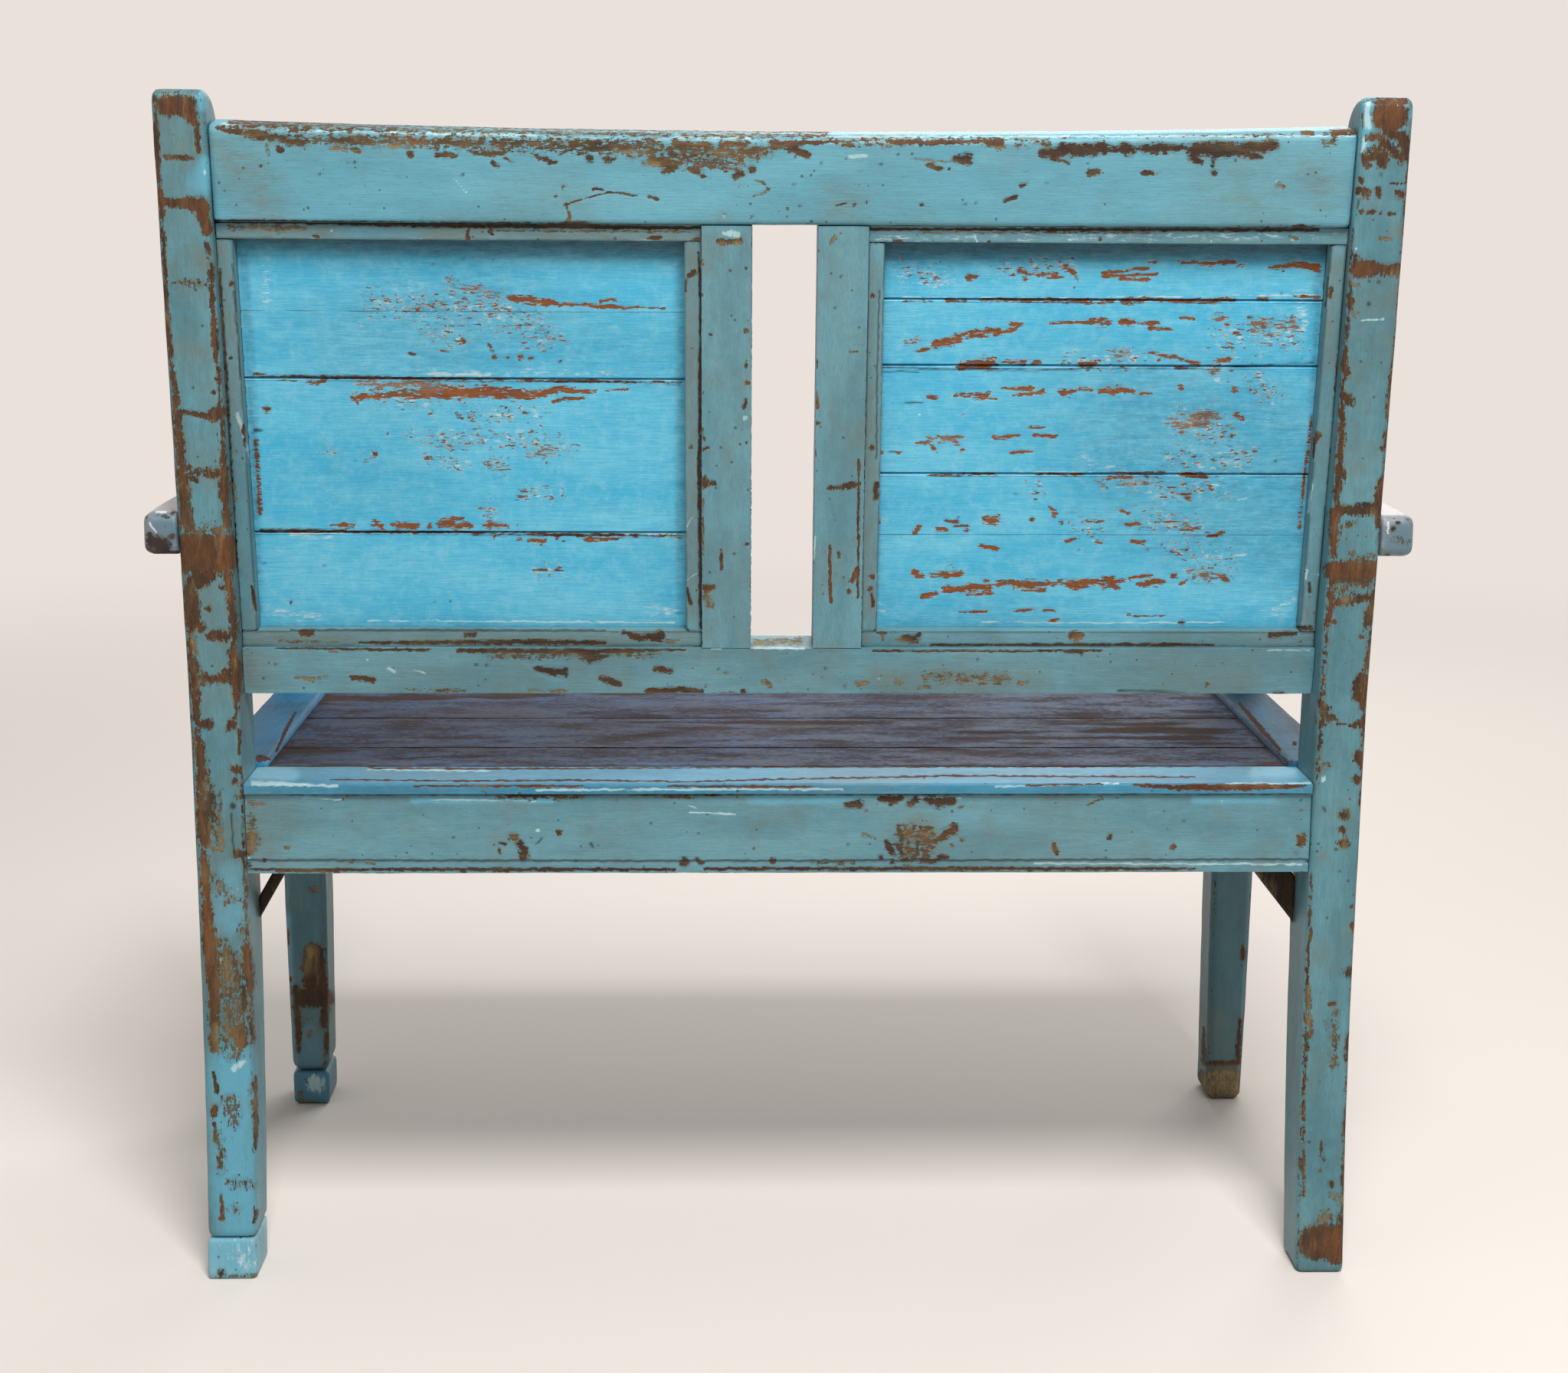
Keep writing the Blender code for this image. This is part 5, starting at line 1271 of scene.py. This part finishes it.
RIGHT_PANEL = {
    "rust": (
        (1266, 362, 4, 1275, 361, 3), (1330, 353, 2.5, 1345, 358, 2.5, 1378, 358, 2.5), (1338, 364, 2.5),
        (1392, 347, 3, 1400, 356, 4, 1407, 364, 3), (1368, 363, 1.5, 1388, 362, 1.5),
        (1440, 356, 2, 1472, 354, 2), (1478, 352, 2, 1497, 350, 2.5),
        (1440, 361, 1.5, 1475, 359, 2, 1512, 358, 1.5), (1463, 365, 2, 1498, 364, 3),
        (1497, 344, 2, 1510, 342, 1.5), (1540, 342, 1.5, 1580, 344, 2.5, 1610, 342, 3.5),
        (1615, 347, 2, 1625, 346, 2), (1655, 349, 1.5, 1690, 346, 4, 1718, 350, 5), (1675, 354, 1.5),
        (1180, 393, 1.2, 1215, 392, 1.5), (1235, 392, 1.5, 1262, 392, 2),
        (1280, 391, 1.8, 1340, 392, 2.5, 1440, 393, 3, 1452, 393, 3.5),
        (1465, 392, 3.5, 1472, 393, 4, 1500, 391, 2),
        (1500, 391, 2, 1560, 393, 3, 1590, 392, 3, 1612, 391, 2.5), (1640, 390, 1.5, 1656, 390, 1.5),
        (1690, 387, 1.5, 1722, 388, 2), (1198, 459, 2, 1212, 456, 2.5),
        (1220, 450, 3.5, 1235, 446, 4.5, 1252, 443, 4), (1248, 437, 2.5, 1275, 434, 3.5, 1302, 431, 3.5),
        (1262, 440, 2.5, 1290, 439, 2), (1300, 436, 2.5, 1322, 431, 3.5), (1322, 424, 3.5, 1334, 422, 2),
        (1405, 421, 2.5, 1435, 420, 4.5, 1446, 422, 4), (1370, 422, 1.4, 1400, 421, 1.8),
        (1463, 420, 3.5, 1476, 421, 4.5), (1480, 423, 2.5, 1512, 422, 3), (1500, 428, 2, 1532, 431, 1.5),
        (1540, 415, 1.5, 1558, 416, 2), (1588, 418, 2.5, 1602, 416, 3.5), (1602, 424, 3.5),
        (1690, 426, 4, 1686, 414, 2), (1255, 476, 3.5, 1280, 474, 6, 1296, 474, 7),
        (1250, 480, 1.5, 1290, 480, 2), (1308, 473, 1.5, 1336, 473, 3.5), (1348, 474, 2.5, 1360, 473, 2),
        (1388, 474, 2), (1410, 476, 2.5, 1430, 475, 2.5),
        (1500, 460, 1.5, 1530, 466, 2.5, 1556, 473, 2.5, 1566, 475, 2), (1535, 479, 2, 1550, 481, 1.5),
        (1513, 471, 2.5), (1577, 454, 2.5), (1592, 453, 1.5, 1610, 454, 1.5),
        (1592, 470, 3, 1605, 469, 2.5), (1583, 487, 3), (1608, 485, 2.5), (1214, 518, 3, 1222, 521, 3),
        (1248, 516, 2, 1290, 515, 3.5), (1270, 520, 1.5, 1300, 520, 1.5),
        (1308, 508, 1.5, 1330, 506, 2.5, 1346, 507, 3.5), (1322, 515, 1.5, 1342, 516, 3, 1362, 511, 2.5),
        (1383, 510, 2.5, 1392, 514, 4.5, 1402, 510, 2), (1410, 508, 3, 1426, 509, 2.5),
        (1436, 510, 3, 1460, 509, 5, 1478, 511, 3), (1490, 514, 2, 1503, 514, 1.5), (1541, 506, 3),
        (1612, 508, 3.5), (1257, 541, 2), (1345, 558, 2.5, 1363, 558, 1.5),
        (1350, 568, 2.5, 1380, 570, 1.5), (1298, 571, 3, 1328, 569, 2.5),
        (1198, 580, 2, 1215, 579, 3.5, 1222, 589, 2.5), (1150, 590, 3), (1174, 592, 2.5),
        (1230, 572, 2.5, 1255, 571, 2), (1256, 586, 2.5), (1320, 591, 2, 1350, 589, 1.2),
        (1612, 542, 2.5, 1622, 547, 3.5), (1637, 590, 2.5),
        (1210, 620, 0.8, 1235, 620, 1.5, 1300, 619, 1.6),
        (1340, 619, 0.8, 1400, 619, 1.8, 1415, 619, 1.2), (1448, 625, 2.5, 1478, 622, 1.5),
        (1450, 617, 1.2, 1520, 617, 1.2), (1546, 619, 3.5, 1560, 620, 3.5),
        (1567, 620, 2.5, 1573, 623, 3), (1497, 625, 2.5), (1464, 667, 2, 1475, 670, 1.5),
        (1371, 663, 2.5, 1377, 672, 3), (1288, 679, 5, 1300, 679, 5.5), (1200, 688, 3, 1194, 696, 2),
        (1223, 690, 2, 1236, 692, 2), (1262, 691, 3.5), (1470, 684, 2, 1483, 684, 3.5),
        (1418, 680, 1.4, 1438, 681, 1.6), (1503, 682, 1, 1527, 681, 1.6),
        (1577, 700, 1.5, 1598, 695, 2.2), (1478, 707, 3, 1492, 709, 3), (1280, 713, 2.5, 1302, 716, 3.5),
        (1393, 707, 2.5, 1403, 704, 2), (1432, 707, 2.5, 1440, 711, 1.5), (1192, 748, 4, 1204, 752, 3.5),
        (1215, 751, 2.5, 1245, 750, 4, 1256, 747, 2.5), (1232, 769, 3, 1260, 768, 5, 1290, 767, 5),
        (1288, 759, 3), (1262, 776, 1.5, 1295, 775, 2), (1304, 762, 4, 1345, 763, 5, 1376, 762, 3),
        (1335, 770, 2, 1362, 770, 3), (1383, 760, 3, 1405, 763, 6, 1430, 759, 4),
        (1440, 755, 3, 1453, 755, 3), (1438, 763, 4, 1457, 766, 4), (1455, 759, 2.5, 1468, 758, 2),
        (1475, 755, 2, 1502, 750, 2.5), (1485, 763, 2, 1497, 761, 5, 1517, 760, 3.5), (1533, 751, 3.5),
        (1541, 761, 2.5, 1550, 757, 1.5), (1590, 749, 2, 1600, 755, 4.5), (1610, 755, 1.5),
        (1203, 779, 2, 1222, 776, 3), (1252, 799, 1, 1288, 799, 1.6), (1325, 797, 1.6, 1352, 796, 1.6),
        (1363, 797, 1.6, 1376, 798, 1.8), (1370, 810, 1.6, 1382, 810, 1.6), (1474, 803, 2.5),
        (1480, 804, 1, 1522, 804, 0.8),
    ),
    "brown": (
        (1552, 648, 3.5, 1545, 645, 2), (1235, 680, 2, 1252, 682, 1.5), (1245, 687, 1.5, 1262, 686, 1.5),
        (1250, 677, 2), (1385, 682, 2.5), (1397, 682, 1.5), (1347, 678, 2.5), (1498, 718, 2.5),
        (1530, 720, 3), (1550, 718, 2.5), (1560, 751, 2), (1572, 753, 3), (1565, 690, 1.2, 1540, 692, 1),
        (1607, 569, 2.5), (1543, 813, 3), (1144, 640, 3, 1145, 650, 2), (1144, 665, 1.5, 1147, 683, 2),
        (1640, 465, 1.5), (1632, 415, 3), (1650, 427, 3), (1632, 508, 2), (1566, 546, 4, 1580, 540, 4),
        (1560, 556, 2.5, 1575, 553, 2.5), (1712, 545, 1.5, 1706, 600, 2, 1700, 650, 1.5, 1696, 690, 1.5),
    ),
    "broken": (
        (1180, 448, 5, 1200, 446, 6), (1540, 552, 14, 1578, 546, 16), (1465, 633, 4, 1512, 628, 5),
        (1450, 462, 7, 1475, 460, 5), (1640, 425, 12, 1690, 425, 10), (1590, 418, 9), (1585, 480, 8),
        (1550, 685, 9), (1430, 625, 5, 1440, 634, 5), (1560, 750, 10, 1580, 752, 9),
        (1215, 572, 6, 1250, 575, 6),
    ),
    "fleck": (
        (1180, 355, 20, 1230, 360, 18), (1600, 440, 24, 1690, 440, 26), (1540, 550, 24, 1590, 560, 26),
        (1540, 600, 24, 1620, 600, 26), (1520, 640, 18, 1600, 640, 18), (1500, 680, 18, 1560, 690, 20),
        (1530, 720, 18, 1600, 730, 20), (1400, 470, 16, 1480, 470, 18), (1640, 490, 20, 1660, 520, 20),
        (1350, 640, 16), (1420, 690, 22), (1240, 740, 14), (1300, 350, 12, 1400, 345, 12),
    ),
    "rub_and_highlight": (
        (1180, 388, 0.8, 1400, 388, 0.8, 1720, 385, 1), (1330, 616, 1, 1430, 616, 1), (1200, 541, 2),
        (1280, 812, 1, 1420, 813, 1, 1600, 812, 1), (1590, 495, 4), (1616, 652, 1, 1628, 650, 1),
        (1610, 725, 1, 1628, 723, 1), (1580, 633, 1, 1590, 633, 1),
    ),
    "crack": (
        (1150, 479, 0.7, 1200, 481, 1, 1280, 483, 1.1, 1340, 484, 1, 1400, 482, 0.9, 1450, 479, 0.9),
        (1450, 479, 0.9, 1500, 480, 1, 1580, 480, 1, 1640, 477, 1, 1715, 474, 1),
        (1150, 485, 0.8, 1200, 486, 0.7), (1672, 383, 1.2), (1603, 498, 1), (1665, 602, 1.3),
        (1586, 738, 1.3), (1408, 718, 1.2), (1326, 645, 1.3), (1183, 525, 1, 1205, 526, 0.8),
        (1160, 590, 1, 1170, 590, 1),
    ),
    "wash": (
        (1180, 362, 16, 1240, 368, 12), (1145, 790, 12, 1165, 805, 10), (1660, 800, 18, 1690, 780, 14),
        (1700, 380, 14, 1700, 430, 12), (1420, 600, 14, 1520, 650, 16, 1530, 700, 14),
        (1590, 495, 8, 1600, 470, 8),
    ),
    # Painted shadow cast by the top bead across the top of the panel.
    "painted_shadow": ((1145, 320, 13, 1400, 321, 14, 1728, 321, 14),),
    "shade": (
        (1150, 331, 10, 1400, 332, 10, 1725, 332, 11), (1151, 335, 5, 1148, 480, 4, 1143, 800, 3),
        (1722, 340, 4, 1712, 560, 3, 1702, 760, 3), (1562, 640, 4, 1570, 630, 3),
    ),
}
LEFT_FRONT_LEG = {
    "ochre": ((404, 1242, 8, 402, 1262, 10), (405, 1350, 5), (411, 1160, 7)),
    "bare": ((410, 1245, 14, 412, 1285, 16),),
    "brown": (
        (395, 1303, 12, 425, 1303, 12), (386, 1290, 5, 389, 1340, 4, 390, 1372, 3),
        (426, 1312, 6, 423, 1336, 5), (427, 1350, 2.5, 427, 1375, 2), (378, 1278, 3),
        (376, 1215, 2, 375, 1232, 2),
    ),
    "fresh": ((405, 1375, 22, 405, 1345, 8), (372, 1200, 8, 378, 1400, 8)),
    "rub_and_highlight": ((405, 1368, 2), (385, 1393, 2)),
}
RIGHT_FRONT_LEG = {
    "brown": (
        (1571, 1340, 1.5, 1571, 1385, 3), (1619, 1330, 2, 1617, 1380, 4), (1622, 1235, 2, 1623, 1250, 3),
        (1572, 1388, 3, 1618, 1387, 3),
    ),
    "ochre": ((1585, 1415, 22, 1608, 1415, 22),),
    "bare": ((1572, 1440, 5, 1625, 1436, 5), (1568, 1400, 4, 1566, 1425, 4)),
}
MARKS = {
    "rear_post_left": LEFT_POST,
    "rear_post_right": RIGHT_POST,
    "top_rail": TOP_RAIL,
    "left_top_bead": LEFT_TOP_BEAD,
    "right_top_bead": RIGHT_TOP_BEAD,
    "left_outer_bead": LEFT_OUTER_BEAD,
    "left_inner_bead": LEFT_INNER_BEAD,
    "right_inner_bead": RIGHT_INNER_BEAD,
    "right_outer_bead": RIGHT_OUTER_BEAD,
    "left_bottom_bead": LEFT_BOTTOM_BEAD,
    "right_bottom_bead": RIGHT_BOTTOM_BEAD,
    "back_stile_left": LEFT_STILE,
    "back_stile_right": RIGHT_STILE,
    "lower_back_rail": LOWER_RAIL,
    "rear_seat_strip": STRIP,
    "rear_apron": APRON,
    "front_leg_left": LEFT_FRONT_LEG,
    "front_leg_right": RIGHT_FRONT_LEG,
    "front_foot_left": {
        "fresh": ((405, 1420, 40),),
        "ochre": ((392, 1425, 3, 394, 1441, 4, 425, 1441, 3),),
        "rub_and_highlight": ((412, 1415, 12),),
    },
    "rear_foot_left": {
        "fresh": ((310, 1635, 45),),
        "wash": ((315, 1630, 30, 325, 1650, 26),),
        "brown": ((289, 1662, 5),),
        "ochre": ((300, 1666, 2.5, 340, 1664, 2.5), (286, 1640, 2)),
    },
    "arm_left": {
        "fresh": ((213, 685, 26, 228, 700, 20),),
        "black": ((203, 708, 9, 213, 712, 9), (195, 700, 4, 196, 716, 5), (200, 722, 4, 232, 722, 3)),
        "brown": ((218, 675, 2.5), (226, 668, 3), (225, 701, 4)),
        # These thin pale lines on the arm's end are painted highlights on its edges.
        "rub_and_highlight": ((195, 683, 1.5, 204, 695, 1.5), (205, 667, 1.5, 217, 668, 1.5), (232, 686, 1.5)),
    },
    "arm_right": {
        "fresh": ((1825, 705, 30),),
        "black": ((1825, 682, 2.5), (1819, 690, 3), (1828, 733, 2, 1840, 730, 3), (1810, 728, 4)),
        "broken": ((1820, 704, 5, 1838, 708, 5),),
        "rub_and_highlight": ((1812, 682, 2, 1812, 695, 2),),
    },
    "seat_end_board_left": {
        "fresh": ((340, 935, 16, 345, 980, 14),),
        "rust": ((385, 930, 1.5, 372, 955, 2, 362, 980, 1.5), (338, 990, 4, 352, 990, 2)),
    },
    "seat_end_board_right": {
        "fresh": ((1650, 930, 12, 1690, 975, 14), (1700, 1000, 12)),
        "rust": ((1618, 918, 2, 1650, 955, 3, 1670, 978, 2), (1690, 970, 3)),
    },
}
for number in (1, 2, 3, 4):
    MARKS[f"left_panel_board_{number}"] = LEFT_PANEL
for number in (1, 2, 3, 4, 5):
    MARKS[f"right_panel_board_{number}"] = RIGHT_PANEL


def add_stage():
    """A pale floor that fades out into a background of the same colour."""
    bpy.ops.mesh.primitive_circle_add(vertices=96, radius=FLOOR_RADIUS, fill_type="NGON")
    floor = bpy.context.object
    floor.name = "floor"
    made = bpy.data.materials.new("pale_floor")
    made.use_nodes = True
    tree = made.node_tree
    shader = tree.nodes["Principled BSDF"]
    shader.inputs["Base Color"].default_value = linear(FLOOR_COLOUR)
    shader.inputs["Roughness"].default_value = 0.9
    place = add_node(tree, "ShaderNodeTexCoord", {}).outputs["Object"]
    distance = add_node(tree, "ShaderNodeVectorMath", {0: place}, operation="LENGTH").outputs[1]
    gone = step_between(tree, distance, *FLOOR_FADE)
    clear = add_node(tree, "ShaderNodeBsdfTransparent", {})
    both = {0: gone, 1: shader.outputs[0], 2: clear.outputs[0]}
    faded = add_node(tree, "ShaderNodeMixShader", both)
    tree.links.new(faded.outputs[0], tree.nodes["Material Output"].inputs[0])
    floor.data.materials.append(made)


def add_light():
    """An even white world that the camera sees as the background, and two softboxes."""
    world = bpy.data.worlds.new("studio")
    bpy.context.scene.world = world
    world.use_nodes = True
    tree = world.node_tree
    background = tree.nodes["Background"]
    background.inputs["Color"].default_value = linear("ffffff")
    background.inputs["Strength"].default_value = WORLD_STRENGTH
    shown = add_node(tree, "ShaderNodeBackground", {"Color": linear(BACKGROUND), "Strength": 1.0})
    path = add_node(tree, "ShaderNodeLightPath", {})
    straight = sums(tree, "MAXIMUM", path.outputs["Is Camera Ray"], path.outputs["Is Glossy Ray"])
    straight = sums(tree, "MAXIMUM", straight, path.outputs["Is Transmission Ray"])
    both = {0: straight, 1: background.outputs[0], 2: shown.outputs[0]}
    mixed = add_node(tree, "ShaderNodeMixShader", both)
    tree.links.new(mixed.outputs[0], tree.nodes["World Output"].inputs[0])
    for name, (place, size, power) in LAMPS.items():
        lamp = bpy.data.lights.new(name, "AREA")
        lamp.size = size
        lamp.energy = power
        holder = bpy.data.objects.new(name, lamp)
        bpy.context.scene.collection.objects.link(holder)
        holder.location = place
        aim = Vector(LAMPS_AIM) - Vector(place)
        holder.rotation_euler = aim.to_track_quat("-Z", "Y").to_euler()


# The materials: the way of the grain, and the looks.
MATERIALS = {
    "painted_teak_level": (LEVEL, FRAME_LOOKS),
    "painted_teak_top_rail": (LEVEL, RAIL_LOOKS),
    "painted_teak_upright": (UPRIGHT, FRAME_LOOKS),
    "painted_teak_post": (UPRIGHT, POST_LOOKS),
    "painted_teak_foot": (UPRIGHT, FOOT_LOOKS),
    "painted_teak_leg": (UPRIGHT, LEG_PAINT_AND_SHADE_LOOKS),
    "painted_teak_deep": (DEEP, FRAME_LOOKS),
    "painted_teak_panel": (LEVEL, PANEL_LOOKS),
    "painted_teak_seat_strip": (LEVEL, STRIP_LOOKS),
    "weathered_teak_plank": (LEVEL, PLANK_LOOKS),
    "weathered_teak_end_board": (DEEP, END_BOARD_LOOKS),
    "weathered_teak_far_end_board": (DEEP, FAR_END_LOOKS),
    "painted_teak_arm": (DEEP, ARM_PAINT_AND_SHEEN_LOOKS),
    "bare_teak": (DEEP, BARE_LOOKS),
    "dark_teak": (UPRIGHT, DARK_LOOKS),
}

# How each piece is skinned, by the first of these words in its name: material, cell, and where
# they aren't 1 and 0, the share of the wear left to chance and the wear all over.
SKINS = {
    "panel_board": ("painted_teak_panel", BOARD_CELL, 0.7),
    "inner_bead": ("painted_teak_upright", FINE_CELL),
    "outer_bead": ("painted_teak_upright", FINE_CELL),
    "stile": ("painted_teak_upright", FINE_CELL),
    "bead": ("painted_teak_level", FINE_CELL),
    "rear_foot": ("painted_teak_foot", CELL),
    "post": ("painted_teak_post", CELL),
    "leg": ("painted_teak_leg", CELL),
    "foot": ("painted_teak_leg", CELL),
    "top_rail": ("painted_teak_top_rail", CELL),
    "lower_back_rail": ("painted_teak_level", CELL),
    "arm_": ("painted_teak_arm", CELL),
    "end_board_left": ("weathered_teak_end_board", BOARD_CELL, 1.0, 0.12),
    "end_board_right": ("weathered_teak_far_end_board", BOARD_CELL, 1.0, 0.12),
    "side_rail": ("painted_teak_deep", BOARD_CELL),
    "plank": ("weathered_teak_plank", BOARD_CELL, 0.7, 0.42),
    "seat_strip": ("painted_teak_seat_strip", FINE_CELL),
    "cleat": ("bare_teak", BOARD_CELL, 1.0, 1.0),
    "bearer": ("bare_teak", BOARD_CELL, 1.0, 1.0),
    "brace": ("dark_teak", BOARD_CELL, 1.0, 1.0),
    "apron": ("painted_teak_level", FINE_CELL),
}

# Pieces that lean with the back. One seed for each panel lets its chance wear cross the joints.
LEANING = ("panel_board", "bead", "stile", "top_rail", "lower_back_rail")
PANEL_SEEDS = {"left": 500, "right": 600}


def main():
    bpy.context.scene.view_settings.view_transform = "Standard"
    add_camera()
    add_stage()
    add_light()
    lean = back_lean()
    made = {name: painted_teak(name, *row) for name, row in MATERIALS.items()}
    slots = {row["node"]: row["material_slot"] for row in frame["record"]["subparts"]}
    for number, node in enumerate(sorted(NODES)):
        material, cell, *wear = next(row for word, row in SKINS.items() if word in node)
        stand = lean if any(word in node for word in LEANING) else None
        seed = PANEL_SEEDS[node.split("_")[0]] if "panel_board" in node else 10 * number
        grain = MATERIALS[material][0]
        make_worn(node, cell, grain, made[material], slots[node], stand, seed, *wear)


main()
